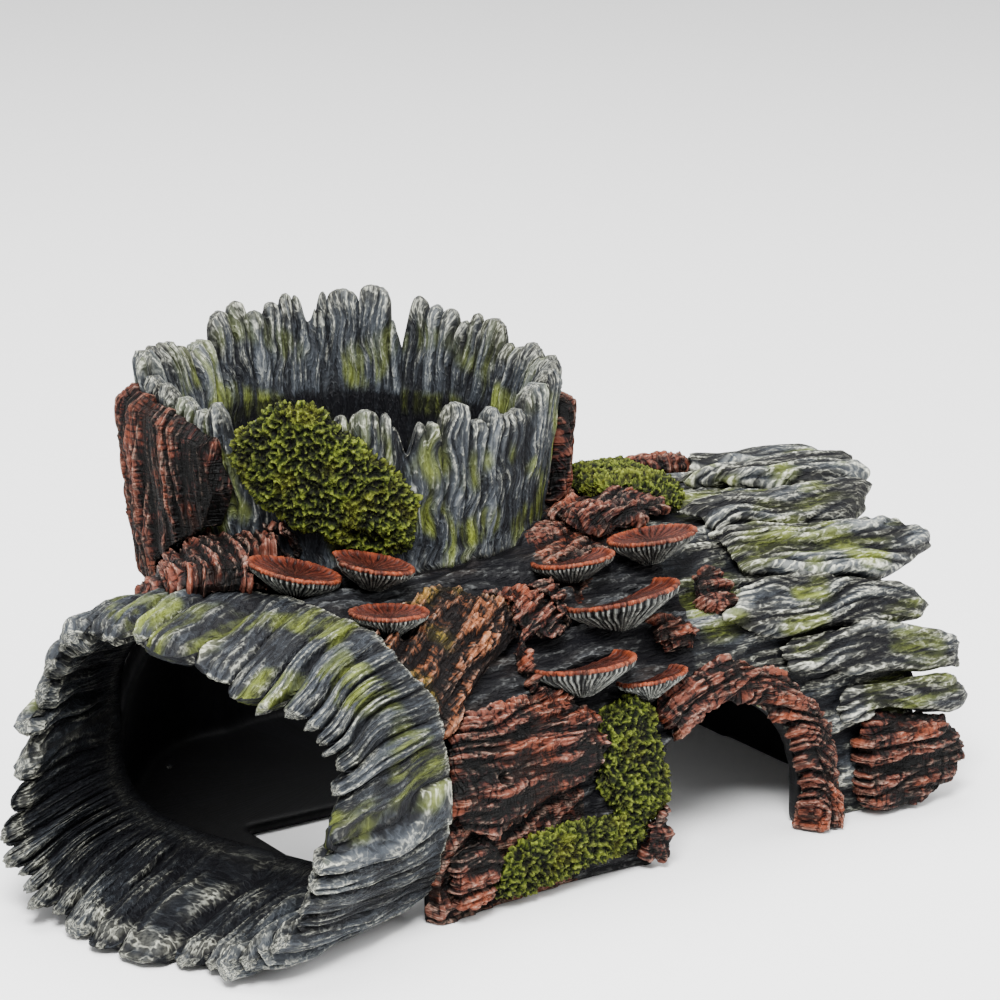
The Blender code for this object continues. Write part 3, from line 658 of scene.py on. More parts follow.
@dataclass
class Studio:
    """The floor, the soft light and the camera at the photograph's angle."""

    azimuth: float = math.radians(33.43)
    elevation: float = math.radians(16.48)
    distance: float = 1.0006
    lens: float = 140.39
    target: Triple = (0.0473, 0.0582, 0.0550)
    lamps: tuple[tuple[str, Triple, float, float], ...] = (
        ("key", (-0.45, -0.60, 1.05), 0.5, 44.0),
        ("fill", (0.75, -0.55, 0.60), 0.9, 10.0),
        ("top", (0.05, 0.35, 1.10), 0.9, 20.0),
    )
    surround: float = 0.85
    floor_half: float = 3.0
    floor_drop: float = 0.0002
    floor_shade: float = 0.90

    def build(self) -> None:
        """Sets up the stage."""
        scene = bpy.context.scene
        camera = bpy.data.cameras.new("camera")
        camera.lens = self.lens
        camera.sensor_width = 36.0
        camera.clip_start = 0.01
        camera.clip_end = 20.0
        holder = bpy.data.objects.new("camera", camera)
        scene.collection.objects.link(holder)
        away = Vector(
            (
                -math.sin(self.azimuth) * math.cos(self.elevation),
                -math.cos(self.azimuth) * math.cos(self.elevation),
                math.sin(self.elevation),
            )
        )
        holder.location = Vector(self.target) + away * self.distance
        holder.rotation_euler = away.to_track_quat("Z", "Y").to_euler()
        scene.camera = holder
        self.floor()
        for lamp in self.lamps:
            self.light(*lamp)
        world = bpy.data.worlds.new("surround")
        world.use_nodes = True
        sky = world.node_tree.nodes["Background"]
        sky.inputs["Color"].default_value = (1.0, 1.0, 1.0, 1.0)
        sky.inputs["Strength"].default_value = self.surround
        scene.world = world

    def floor(self) -> None:
        """Lays the pale floor."""
        shape = bmesh.new()
        bmesh.ops.create_grid(shape, x_segments=1, y_segments=1, size=self.floor_half)
        mesh = bpy.data.meshes.new("floor")
        shape.to_mesh(mesh)
        shape.free()
        floor = bpy.data.objects.new("floor", mesh)
        floor.location.z = -self.floor_drop
        bpy.context.scene.collection.objects.link(floor)
        material = bpy.data.materials.new("floor")
        material.use_nodes = True
        shader = material.node_tree.nodes["Principled BSDF"]
        shader.inputs["Base Color"].default_value = (*[self.floor_shade] * 3, 1.0)
        shader.inputs["Roughness"].default_value = 0.6
        mesh.materials.append(material)

    def light(self, name: str, place: Triple, size: float, power: float) -> None:
        """Hangs a soft light that faces the object.

        Args:
            name: Light's name.
            place: Where it hangs, in metres.
            size: Side of the square light, in metres.
            power: Watts.
        """
        lamp = bpy.data.lights.new(name, "AREA")
        lamp.size = size
        lamp.energy = power
        holder = bpy.data.objects.new(name, lamp)
        holder.location = place
        holder.rotation_euler = Vector(place).to_track_quat("Z", "Y").to_euler()
        bpy.context.scene.collection.objects.link(holder)


def merged_copy(node: str) -> bpy.types.Mesh:
    """A copy of a CAD node's mesh with its split vertices merged.

    Args:
        node: CAD node's name.

    Returns:
        The copy.
    """
    shape = bmesh.new()
    shape.from_mesh(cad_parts[node].data)
    bmesh.ops.remove_doubles(shape, verts=shape.verts, dist=1e-6)
    mesh = bpy.data.meshes.new(node)
    shape.to_mesh(mesh)
    shape.free()
    return mesh


def remeshed(node: str, voxel: float) -> bpy.types.Mesh:
    """A copy of a CAD node remade of even small faces.

    Args:
        node: CAD node's name.
        voxel: Face size, in millimetres.

    Returns:
        The remade mesh.
    """
    holder = bpy.data.objects.new(f"{node}_work", merged_copy(node))
    bpy.context.scene.collection.objects.link(holder)
    modifier = holder.modifiers.new("even", "REMESH")
    modifier.mode = "VOXEL"
    modifier.voxel_size = voxel * MM
    bpy.context.view_layer.update()
    graph = bpy.context.evaluated_depsgraph_get()
    mesh = bpy.data.meshes.new_from_object(holder.evaluated_get(graph))
    bpy.data.objects.remove(holder, do_unlink=True)
    return mesh


@dataclass
class Casting:
    """One casting of the ornament, named by the CAD node that it stands for."""

    node: str
    voxel: float = 0.45
    rounds: int = 5
    edge_rounds: int = 7
    edge_span: tuple[float, float] = (0.02, 0.42)
    slot: str = "driftwood_resin"
    paint: ResinPaint = DRIFTWOOD
    materials: ClassVar[dict[str, bpy.types.Material]] = {}

    def __post_init__(self) -> None:
        """Fixes the draw of the casting's carving by its name."""
        self.seed = float(sum(ord(letter) * (index + 3) for index, letter in enumerate(self.node)) % 97)

    def coat(self, paint: ResinPaint) -> bpy.types.Material:
        """The material of a paint, made once.

        Args:
            paint: Paint to use.

        Returns:
            Its material.
        """
        if paint.name not in Casting.materials:
            Casting.materials[paint.name] = paint.material()
        return Casting.materials[paint.name]

    def skin(self) -> Skin:
        """The casting's smooth body.

        Returns:
            Its skin, before carving.
        """
        skin = Skin(remeshed(self.node, self.voxel))
        skin.set_places(skin.relaxed(self.rounds))
        return skin

    def carve(self, skin: Skin) -> None:
        """Cuts the relief into the skin and keeps its height, tint and grain for the paint."""
        raise NotImplementedError

    def edge(self, skin: Skin) -> Array:
        """Where a dry brush would touch the carved skin, from 0 in hollows to 1 on edges."""
        return smooth_step(skin.prominence(self.edge_rounds), *self.edge_span)

    def build(self) -> bpy.types.Object:
        """Makes the casting and sets it on the frame.

        Returns:
            The finished object.
        """
        skin = self.skin()
        self.carve(skin)
        skin.store("edge", self.edge(skin))
        mesh = skin.mesh
        mesh.name = f"{self.node}_look"
        mesh.materials.clear()
        self.dress(skin)
        mesh.shade_smooth()
        made = bpy.data.objects.new(f"{self.node}_look", mesh)
        bpy.context.scene.collection.objects.link(made)
        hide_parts(self.node)
        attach(made, "root")
        LOG.info("%s: %d faces", self.node, len(mesh.polygons))
        return made

    def dress(self, skin: Skin) -> None:
        """Gives the casting its paint."""
        skin.mesh.materials.append(self.coat(self.paint))


def wood_height(along: Array, across: Array, seed: float) -> Array:
    """Weathered strands with sharp grooves between them.

    Args:
        along: Distance along the grain, in millimetres.
        across: Distance across it.
        seed: Which draw to use.

    Returns:
        Height from 0 in the grooves to 1 on the strands.
    """
    bend = 5.0 * NOISE.value(along / 32, across / 22, seed)
    place = across + bend + 1.6 * NOISE.value(along / 12, across / 9, seed + 3)
    broad = NOISE.grooves(along / 60, place / 7.5, seed + 7, 2.4)
    fine = NOISE.grooves(along / 34, place / 3.0, seed + 11)
    hair = NOISE.grooves(along / 18, place / 1.4, seed + 17)
    return (1 - 0.95 * broad**1.2) * (1 - 0.6 * fine) * (1 - 0.25 * hair)


def patches(skin: Skin, size: float, seed: float, low: float, high: float) -> Array:
    """Soft-edged patches of a size in millimetres: 0 where noise is under low, 1 where it is over high."""
    x, y, z = skin.places.T / size
    return smooth_step(NOISE.value(x, y, z + seed), low, high)


def bark_height(along: Array, across: Array, seed: float, snap_depth: float) -> Array:
    """Long bark fibres split by cracks along and across.

    Args:
        along: Distance along the grain, in millimetres.
        across: Distance across it.
        seed: Which draw to use.
        snap_depth: How deep the cracks across the fibres are, from 0 to 1.

    Returns:
        Height from 0 in the cracks to 1 on the fibres.
    """
    place = across + 2.4 * NOISE.value(along / 17, across / 13, seed)
    strips = NOISE.grooves(along / 30, place / 4.6, seed + 5, 3.4)
    fine = NOISE.grooves(along / 13, place / 1.9, seed + 7, 3.6)
    hair = NOISE.grooves(along / 6, place / 0.9, seed + 9)
    breaks = smooth_step(NOISE.value(along / 12, place / 7, seed + 21), -0.1, 0.3)
    snaps = breaks * NOISE.grooves(along / 3.6, place / 8.0, seed + 15, 4.0)
    rough = NOISE.value(along / 1.8, across / 1.2, seed + 13)
    height = (1 - 0.92 * strips) * (1 - 0.5 * fine) * (1 - 0.25 * hair)
    return np.clip(height * (1 - snap_depth * snaps) * (0.96 + 0.16 * rough), 0, 1)


@dataclass
class Strand(Casting):
    """A weathered grey strand of the log's tail."""

    voxel: float = 0.42
    depth: float = 2.6
    edge_span: tuple[float, float] = (-0.04, 0.24)
    tip_start: float = 84.0
    tip_end: float = 106.0

    def carve(self, skin: Skin) -> None:
        """Cuts the grain, shallower towards the thin tip.

        Args:
            skin: Skin to carve.
        """
        along, across = skin.grain(Carrier.LOG, 0.0)
        height = wood_height(along, across, 5.0)
        tip = smooth_step(along, self.tip_start, self.tip_end)
        skin.push(self.depth * (1 - 0.45 * tip) * (height - 0.62) + 0.7)
        skin.store_grain(along, across)
        skin.store("height", height)
        skin.store("tint", patches(skin, 15.0, 2.0, 0.0, 0.35))


@dataclass
class Bark(Casting):
    """A cracked red-brown bark plate."""

    voxel: float = 0.42
    slot: str = "bark_resin"
    paint: ResinPaint = BARK
    depth: float = 2.6
    lying_snap: float = 0.6
    standing_snap: float = 0.25
    standing_stretch: float = 2.2
    split_depth: float = 0.75
    vent_radius: float = 1.4
    vent_in: float = 15.0
    turns: ClassVar[dict[str, float]] = {
        "bark_centre": 32.0,
        "bark_beside_centre": 20.0,
        "bark_top": 12.0,
        "bark_shoulder": 70.0,
    }

    def carrier(self) -> Carrier:
        """Which surface the plate's grain follows."""
        return Carrier.STUMP if "stump" in self.node else Carrier.LOG

    def vent(self, skin: Skin) -> Array:
        """The small round air vent near the mouth-side edge of the front plate.

        Args:
            skin: Plate's skin.

        Returns:
            1 in the vent and 0 elsewhere, and 0 all over on the other plates.
        """
        if self.node != "bark_front":
            return np.zeros(len(skin.places))
        low, high = (np.array(corner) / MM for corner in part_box(self.node))
        middle = (low[2] + high[2]) / 2
        apart = np.hypot(skin.places[:, 0] - low[0] - self.vent_in, skin.places[:, 2] - middle)
        return 1 - smooth_step(apart, self.vent_radius - 0.3, self.vent_radius + 0.3)

    def arch_grain(self, skin: Skin) -> tuple[Array, Array]:
        """Coordinates along and across the root that bends over the side arch.

        Args:
            skin: Root's skin.

        Returns:
            Along and across, in millimetres.
        """
        low, high = (np.array(corner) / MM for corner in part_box(self.node))
        beside = skin.places[:, 0] - (low[0] + high[0]) / 2
        angle = np.arctan2(skin.places[:, 2], beside)
        across = np.hypot(beside, skin.places[:, 2]) + 0.6 * skin.places[:, 1]
        return angle * (high[2] - low[2]) * 0.8, across

    def carve(self, skin: Skin) -> None:
        """Cuts cracks and grain.

        Args:
            skin: Skin to carve.
        """
        along, across = skin.grain(self.carrier(), self.turns.get(self.node, 0.0))
        if self.node == "root_arch":
            along, across = self.arch_grain(skin)
        if self.carrier() is Carrier.STUMP:
            height = bark_height(along / self.standing_stretch, across, self.seed, self.standing_snap)
            splits = NOISE.grooves(along / 70, across / 11.0, self.seed + 25, 2.6)
            height *= 1 - self.split_depth * splits
        else:
            height = bark_height(along, across, self.seed, self.lying_snap)
        vent = self.vent(skin)
        # The vent is only dented. Its near-black colour is the painted shade of a hole.
        height *= 1 - vent
        skin.push(self.depth * (height - 0.60) - vent)
        skin.store_grain(along, across, self.seed)
        skin.store("height", height)
        strength = 1.0 if self.node == "bark_centre" else 0.7
        skin.store("tint", strength * patches(skin, 11.0, 8.0, -0.1, 0.35))

    def dress(self, skin: Skin) -> None:
        """Paints the plate, with a mossy wash on the one beside the mouth."""
        skin.mesh.materials.append(self.coat(MOSSY_BARK if self.node == "bark_centre" else self.paint))


@dataclass
class Moss(Casting):
    """A foamy moss pad."""

    voxel: float = 0.42
    rounds: int = 4
    slot: str = "moss_resin"
    paint: ResinPaint = MOSS
    depth: float = 2.4
    threads: tuple[tuple[float, float], ...] = ((2.6, 0.50), (1.25, 0.40))
    thread_sharpness: float = 2.1

    def carve(self, skin: Skin) -> None:
        """Cuts a web of threads.

        Args:
            skin: Skin to carve.
        """
        x, y, z = skin.places.T
        large = NOISE.value(x / 6.0, y / 6.0, z / 6.0 + self.seed)
        height = 0.20 * large
        for cell, share in self.threads:
            thread = NOISE.grooves(x / cell, y / cell, z / cell + self.seed, self.thread_sharpness)
            height += share * thread**1.2
        height = np.clip(height, 0, 1)
        skin.push(self.depth * (height - 0.50))
        skin.store_grain(x, y, z)
        skin.store("height", height)
        skin.store("tint", 0.6 * patches(skin, 9.0, 3.0, 0.0, 0.4))


@dataclass
class MushroomCap(Casting):
    """A bracket mushroom with a grooved red-brown top and a gilled grey underside."""

    voxel: float = 0.32
    rounds: int = 4
    slot: str = "fungus_resin"
    paint: ResinPaint = CAP_TOP
    sides: int = 14
    rays_round: int = 30
    gills_round: int = 54
    depth: float = 0.9
    rim_roll: float = 0.35

    def skin(self) -> Skin:
        """The mushroom's body with its polygonal outline made round.

        Returns:
            Its skin, before carving.
        """
        skin = Skin(remeshed(self.node, self.voxel))
        self.centre, self.radius = self.rim()
        offset = skin.places[:, :2] - self.centre
        angle = np.arctan2(offset[:, 1], offset[:, 0])
        step = math.tau / self.sides
        flat = math.cos(step / 2) / np.cos(np.mod(angle, step) - step / 2)
        places = skin.places.copy()
        places[:, :2] = self.centre + offset / flat[:, None]
        skin.set_places(places)
        skin.set_places(skin.relaxed(self.rounds))
        return skin

    def rim(self) -> tuple[Array, float]:
        """The cap's middle, where its top faces meet in a fan, and its radius.

        Returns:
            Middle and radius in plan, in millimetres.
        """
        shape = bmesh.new()
        shape.from_mesh(merged_copy(self.node))
        shape.normal_update()
        tops = [vert for vert in shape.verts if vert.normal.z > 0.6]
        middle = np.array(max(tops, key=lambda vert: len(vert.link_edges)).co)[:2] / MM
        places = np.array([vert.co for vert in shape.verts])[:, :2] / MM
        shape.free()
        return middle, float(np.linalg.norm(places - middle, axis=1).max())

    def carve(self, skin: Skin) -> None:
        """Cuts radial grooves on the top and gills underneath.

        Args:
            skin: Skin to carve.
        """
        offset = skin.places[:, :2] - self.centre
        spread = np.hypot(offset[:, 0], offset[:, 1]) / self.radius
        angle = np.arctan2(offset[:, 1], offset[:, 0])
        drift = NOISE.value(angle * 3, spread * 3, self.seed)
        rays = np.clip(1 - 1.7 * np.abs(np.sin(angle * self.rays_round / 2 + 0.9 * drift)), 0, 1)
        gills = np.abs(np.sin(angle * self.gills_round / 2 + 1.5 * drift))
        self.upper = smooth_step(skin.normals[:, 2], -0.1, 0.45)
        roll = smooth_step(spread, 0.86, 0.97)
        top = (1 - 0.95 * rays * (1 - 0.8 * roll) * smooth_step(spread, 0.05, 0.25)) * (0.62 + 0.38 * spread)
        wear = 0.75 + 0.5 * NOISE.value(angle * 9, spread * 4, self.seed)
        self.crests = smooth_step(gills, 0.60, 1.0) * wear
        height = top * self.upper + (0.15 + 0.75 * gills) * (1 - self.upper)
        skin.push(self.depth * (height - 0.75) + self.rim_roll * roll * self.upper)
        skin.store_grain(spread * self.radius, angle * self.radius, self.seed)
        skin.store("height", height)
        skin.store("tint", roll * self.upper)

    def edge(self, skin: Skin) -> Array:
        """Where a dry brush would touch: the rim above and the gills' crests below."""
        return super().edge(skin) * self.upper + self.crests * (1 - self.upper)

    def dress(self, skin: Skin) -> None:
        """Paints the top red-brown and the gills grey.

        Args:
            skin: Carved skin.
        """
        for paint in (CAP_TOP, GILLS):
            skin.mesh.materials.append(self.coat(paint))
        skin.paint_faces(np.where(self.upper < 0.5, 1, 0))


@dataclass
class LogShell(Casting):
    """The hollow log with the stump's base: carved wood outside, smooth black paint with painted shade
    inside.
    """

    voxel: float = 1.07
    rounds: int = 2
    depth: float = 2.2
    margin: float = 2.0
    floor_top: float = 4.5
    floor_half: float = 50.0
    floor_short: float = 12.0
    back_start: float = 25.0
    tail_thickness: float = 25.0
    tail_rounding: float = 4.0
    corner_start: float = 38.0
    raggedness: float = 6.0
    dark_shade_from_x: float = -58.0
    dark_shade_to_x: float = 34.0
    dark_shade_to_y: float = -12.0
    bark_to_x: float = -4.0
    bark_top_z: float = 30.0
    bark_turn: float = 18.0
    foot_reach: float = 64.0
    foot_from_x: float = 14.0
    foot_to_y: float = 14.0
    foot_bottom_z: float = 40.0

    def inside(self, skin: Skin) -> Array:
        """Which vertices lie on the hollow's walls.

        Args:
            skin: Skin to look at.

        Returns:
            True for the hollow's walls.
        """
        x, y, z = (skin.places - SHIFT).T
        beside = np.stack([x - LAYOUT.stump_x, y - LAYOUT.stump_y], axis=1)
        from_stump = np.hypot(beside[:, 0], beside[:, 1])
        to_axis = np.stack([np.zeros(len(x)), LAYOUT.log_middle_y - y, LAYOUT.log_axis_z - z], axis=1)
        facing_axis = np.einsum("ij,ij->i", to_axis, skin.normals) > 0
        facing_stump = np.einsum("ij,ij->i", beside, skin.normals[:, :2]) < 0
        level = np.abs(skin.normals[:, 2]) > 0.7
        near_bore = (from_stump < LAYOUT.stump_bore + 1.5) & (facing_stump | level)
        near_bore |= from_stump < LAYOUT.stump_bore - 0.5
        outer_wall = np.abs(from_stump - LAYOUT.stump_radius - 0.5) < 1.5
        from_middle = y - LAYOUT.log_middle_y
        on_floor = (from_stump < LAYOUT.stump_bore + self.margin) | (np.abs(from_middle) < self.floor_half)
        on_floor &= (z < self.floor_top) & (x < LAYOUT.tail_x - self.floor_short)
        on_floor &= ~((from_middle > self.back_start) & (skin.normals[:, 1] > 0.15))
        end_wall = (skin.normals[:, 0] < -0.5) & (x > LAYOUT.tail_x - self.tail_thickness)
        facing = LAYOUT.mouth_facing()
        from_mouth = np.stack([x - LAYOUT.mouth_x, y - LAYOUT.mouth_y], axis=1)
        mouth_end = (from_mouth @ facing > -self.margin) & (skin.normals[:, :2] @ facing > 0.5)
        self.front_corner = mouth_end & (from_mouth @ LAYOUT.mouth_side() > self.corner_start)
        self.tail_end = (x > LAYOUT.tail_x - self.tail_rounding) & (skin.normals[:, 0] > 0.5)
        end_wall |= mouth_end
        low, high = (np.array(corner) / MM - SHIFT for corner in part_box("root_arch"))
        passage = (x > low[0]) & (x < high[0]) & (z < high[2]) & (np.abs(skin.normals[:, 1]) < 0.5)
        hollow = (facing_axis & ~(outer_wall & ~facing_stump)) | near_bore | on_floor | end_wall | passage
        return hollow & ~self.tail_end

    def carve(self, skin: Skin) -> None:
        """Cuts the grain on the outside only, with bark on its front and at the stump's foot.

        Args:
            skin: Skin to carve.
        """
        self.hollow = self.inside(skin)
        x, y, z = (skin.places - SHIFT).T
        from_stump = np.hypot(x - LAYOUT.stump_x, y - LAYOUT.stump_y)
        upright = below(from_stump, LAYOUT.stump_radius + 0.5, 2.5)
        lying = wood_height(*skin.grain(Carrier.LOG, 0.0), 5.0)
        standing = wood_height(*skin.grain(Carrier.STUMP, 0.0), 9.0)
        height = lying * (1 - upright) + standing * upright
        ragged = self.raggedness * NOISE.value(x / 9, y / 9, z / 9)
        # Dark wood on the log's front where the bark plates sit: dark base paint with painted shade in the
        # gaps between the plates.
        self.dark_and_shaded = above(x + ragged, self.dark_shade_from_x, 8.0)
        self.dark_and_shaded *= below(x + ragged, self.dark_shade_to_x, 10.0)
        self.dark_and_shaded *= below(y + ragged, self.dark_shade_to_y, 10.0)
        self.barked = self.dark_and_shaded * below(x + ragged, self.bark_to_x, 10.0)
        self.barked *= below(z + ragged, self.bark_top_z, 6.0)
        foot = below(from_stump + ragged, self.foot_reach, 6.0) * above(x + ragged, self.foot_from_x, 6.0)
        foot *= below(y + ragged, self.foot_to_y, 10.0) * (z > self.foot_bottom_z)
        self.barked = np.maximum(self.barked, foot) * (1 - upright)
        self.barked[self.front_corner] = 1.0
        self.hollow &= ~self.front_corner
        bark = bark_height(*skin.grain(Carrier.LOG, self.bark_turn), 31.0, Bark.lying_snap)
        height += self.barked * (bark - height)
        self.hollow |= (skin.normals[:, 2] < -0.7) & (z < 1.0)
        height = np.where(self.tail_end, 0.6 + 0.5 * NOISE.value(y / 5, z / 11, 3.0), height)
        # The log's tail end gets the same dark paint.
        self.dark_and_shaded[self.tail_end] = 1.0
        skin.push(np.where(self.hollow, 0.0, self.depth * (height - 0.75)))
        along, across = (
            np.where(upright > 0.5, stood, laid)
            for stood, laid in zip(skin.grain(Carrier.STUMP, 0.0), skin.grain(Carrier.LOG, 0.0))
        )
        skin.store_grain(along, across)
        skin.store("height", np.where(self.hollow, 0.5, height))
        skin.store("tint", patches(skin, 15.0, 2.0, 0.05, 0.4))

    def dress(self, skin: Skin) -> None:
        """Paints the outside as driftwood, as dark wood with painted shade between the bark plates and as
        bark, and the hollow black with its painted shade.

        Args:
            skin: Carved skin.
        """
        for paint in (DRIFTWOOD, BLACK_AND_SHADE, DARK_WOOD_AND_SHADE, BARK):
            skin.mesh.materials.append(self.coat(paint))
        outside = np.where(self.barked > 0.5, 3, np.where(self.dark_and_shaded > 0.5, 2, 0))
        # The hollow's walls and floor get the near-black paint that carries the hollow's painted shade.
        skin.paint_faces(np.where(self.hollow, 1, outside))


class FingerRow:
    """The uneven fingers round a jagged rim."""

    def __init__(self, count: int, seed: int) -> None:
        """Draws the fingers.

        Args:
            count: How many fingers.
            seed: Number that fixes the draw.
        """
        draw = np.random.default_rng(seed)
        widths = draw.uniform(0.5, 1.6, count)
        self.bounds = np.concatenate([[0.0], np.cumsum(widths) / widths.sum()])
        self.lengths = draw.uniform(0.0, 1.0, count)
        self.lifts = draw.uniform(0.45, 1.0, count)

    def read(self, turn: Array) -> tuple[Array, Array, Array]:
        """What the fingers are at some places round the rim.

        Args:
            turn: Shares of a full turn.

        Returns:
            Roundness across the finger (0 between fingers, 1 on its back), its length and its lift.
        """
        place = np.mod(turn, 1.0)
        index = np.clip(np.searchsorted(self.bounds, place, side="right") - 1, 0, len(self.lengths) - 1)
        low, high = self.bounds[index], self.bounds[index + 1]
        across = 2 * (place - low) / (high - low) - 1
        return np.sqrt(np.clip(1 - across**2, 0, 1)), self.lengths[index], self.lifts[index]


@dataclass
class JaggedCollar(Casting):
    """A collar of weathered fingers, turned from a closed loop and then shaped."""

    columns: int = 1100
    outer_rows: int = 40
    inner_rows: int = 28
    edge_rounds: int = 14
    edge_span: tuple[float, float] = (0.02, 0.55)
    lap: float = 7.0
    lap_lift: float = 0.3

    def loop(self) -> list[tuple[float, float]]:
        """The loop that is turned: side 2 is the outer face, side 1 the inner, and the tips are at height 1.

        Below 0 a thin lip laps over the casting that the collar sits on.

        Returns:
            Corners of the loop.
        """
        outer = [(2.0, row / self.outer_rows) for row in range(self.outer_rows + 1)]
        edge = [(1.75, 1.0), (1.5, 1.0), (1.25, 1.0)]
        inner = [(1.0, 1 - row / self.inner_rows) for row in range(self.inner_rows + 1)]
        lap = [(1.90, 0.0), (1.90, -0.5), (1.90, -1.0), (2.0, -1.0), (2.0, -0.66), (2.0, -0.33)]
        return lap + outer + edge + inner

    def skin(self) -> Skin:
        """Turns the loop into a closed collar.

        Returns:
            The shaped collar, before carving.
        """
        loop = np.array(self.loop() + self.loop()[:1])
        shape = bmesh.new()
        bmesh.ops.create_grid(shape, x_segments=self.columns, y_segments=len(loop) - 1, size=1.0)
        for vert in shape.verts:
            side, height = loop[round((vert.co.y + 1) / 2 * (len(loop) - 1))]
            angle = math.pi * (vert.co.x + 1)
            vert.co = (side * math.cos(angle), side * math.sin(angle), height)
        bmesh.ops.remove_doubles(shape, verts=shape.verts, dist=1e-5)
        bmesh.ops.recalc_face_normals(shape, faces=shape.faces)
        if shape.calc_volume(signed=True) < 0:
            bmesh.ops.reverse_faces(shape, faces=shape.faces)
        mesh = bpy.data.meshes.new(self.node)
        shape.to_mesh(mesh)
        shape.free()
        skin = Skin(mesh)
        flat = skin.places * MM
        turn = np.arctan2(flat[:, 1], flat[:, 0]) / math.tau
        side = np.hypot(flat[:, 0], flat[:, 1]) - 1
        self.shape(skin, turn, side, flat[:, 2])
        return skin

    def shape(self, skin: Skin, turn: Array, side: Array, along: Array) -> None:
        """Places the collar's vertices.

        Args:
            skin: Collar to shape.
            turn: Share of a full turn.
            side: 0 on the inner face, 1 on the outer.
            along: 0 at the seat, 1 at the tips.
        """
        raise NotImplementedError

    def carve(self, skin: Skin) -> None:
        """Keeps the heights that shaping worked out, which hold painted shade on the inner faces.

        Args:
            skin: Shaped collar.
        """
        skin.store_grain(*self.lines)
        skin.store("height", self.height)
        skin.store("tint", self.tint)

    def edge(self, skin: Skin) -> Array:
        """Where a dry brush would touch: edges and tips, but not the seat."""
        return super().edge(skin) * self.reach


def signed_power(values: Array, exponent: Array | float) -> Array:
    """A power that keeps the sign."""
    return np.sign(values) * np.abs(values) ** exponent


@dataclass
class MouthFlare(JaggedCollar):
    """The flared mouth with its ring of fingers."""

    columns: int = 1200
    fingers: int = 40
    finger_seed: int = 4
    back_width: float = 50.0
    back_top: float = 34.0
    tip_width: float = 48.0
    inner_side_lean: float = 6.0
    high_corner_lift: float = 10.0
    lap: float = 2.2
    tip_top: float = 26.5
    tip_bottom: float = 34.0
    length: float = 25.0
    tongue: float = 20.0
    lean: float = 8.0
    back_wall: float = 7.5
    tip_wall: float = 4.4
    finger_length: float = 5.5
    finger_round: float = 6.0
    depth: float = 4.6
    inner_depth: float = 4.4
    tip_rounding: float = 1.2
    gap: float = 0.3

    def shape(self, skin: Skin, turn: Array, side: Array, along: Array) -> None:
        """Places the flare's vertices.

        Args:
            skin: Collar to shape.
            turn: Share of a full turn.
            side: 0 on the inner face, 1 on the outer.
            along: 0 at the log, 1 at the tips.
        """
        fingers = FingerRow(self.fingers, self.finger_seed)
        lapped = np.minimum(along, 0)
        lip = (side > 0.85) & (side < 0.95)
        along = np.maximum(along, 0)
        wander = 0.010 * NOISE.value(turn * 11, along * 2.0, 1.5) * (0.3 + 0.7 * along)
        dome, length, lift = fingers.read(turn + wander)
        arc = (turn + 1.2 * wander) * 300.0
        fine = NOISE.grooves(along * 0.9, arc / 2.7, 6.0)
        hair = NOISE.grooves(along * 1.6, arc / 1.3, 3.0)
        humps = NOISE.value(along * 3.2, arc / 7.0, 9.0)
        opening = along**1.5
        lower_half = np.sin(math.tau * turn) < 0
        back_squareness = np.where(lower_half, 4.0, 2.5)
        exponent = 2 / (back_squareness + (2.9 - back_squareness) * opening)
        across = signed_power(np.cos(math.tau * turn), exponent)
        rise = signed_power(np.sin(math.tau * turn), exponent)
        half_width = self.back_width + (self.tip_width - self.back_width) * opening
        tip_height = np.where(lower_half, self.tip_bottom, self.tip_top)
        half_height = self.back_top + (tip_height - self.back_top) * opening
        wall = self.back_wall + (self.tip_wall - self.back_wall) * opening
        wall *= 1 - 0.75 * smooth_step(along, 0.88, 1.0)
        ridge = (0.15 + 0.85 * dome) * lift * (1 - 0.24 * fine) * (1 - 0.10 * hair) * (1 + 0.35 * humps)
        relief = self.depth * (ridge - 0.5) * (0.35 + 0.65 * smooth_step(along, 0.0, 0.2))
        relief += 0.8 * (1 - along)
        inner_relief = self.inner_depth * smooth_step(along, 0.04, 0.35) * (ridge - 0.6)
        blunt = self.tip_rounding * smooth_step(along, 0.86, 1.0)
        inset = (wall + inner_relief + blunt) * (1 - side) - (relief - blunt) * side
        reach = self.length + self.tongue * np.clip(0.35 - rise, 0, None) / 1.35
        reach += self.finger_length * length + self.finger_round * dome**0.8
        facing = LAYOUT.mouth_facing()
        sideways = LAYOUT.mouth_side()
        inset = np.where(lip, -self.lap_lift, inset)
        skirt = self.lap + 2.4 * NOISE.value(turn * 24, 0.0 * turn, 2.5)
        out = self.gap + reach * along + skirt * lapped
        over = self.lean * opening + (half_width - inset) * across
        over -= self.inner_side_lean * opening * np.clip(across, 0, 1)
        lift_up = self.high_corner_lift * along * np.clip(rise, 0, 1) * np.clip(0.3 - across, 0, 1)
        places = np.empty((len(turn), 3))
        places[:, :2] = out[:, None] * facing + over[:, None] * sideways
        places[:, :2] += LAYOUT.mouth_x, LAYOUT.mouth_y
        places[:, 2] = np.maximum(LAYOUT.mouth_z + (half_height - inset) * rise + lift_up, 0.05)
        inward = 1 - side
        self.lines = (out * 1.3, arc, inward * 20.0)
        self.reach = 1 - inward * (0.55 - 0.25 * smooth_step(along, 0.2, 0.9))
        self.reach *= 1 - inward * (1 - smooth_step(along, 0.03, 0.25))
        # The flare is painted a little darker toward the log. Its inner face is darkened much more, most
        # deeply next to the log, as painted shade.
        self.height = np.clip(0.05 + 1.05 * ridge, 0, 1) * (0.8 + 0.2 * along)
        self.height *= 1 - inward * (0.65 - 0.40 * smooth_step(along, 0.1, 0.9))
        skin.set_places(places + SHIFT)
        self.tint = patches(skin, 15.0, 2.0, 0.0, 0.4) * (places[:, 2] > 22) * side


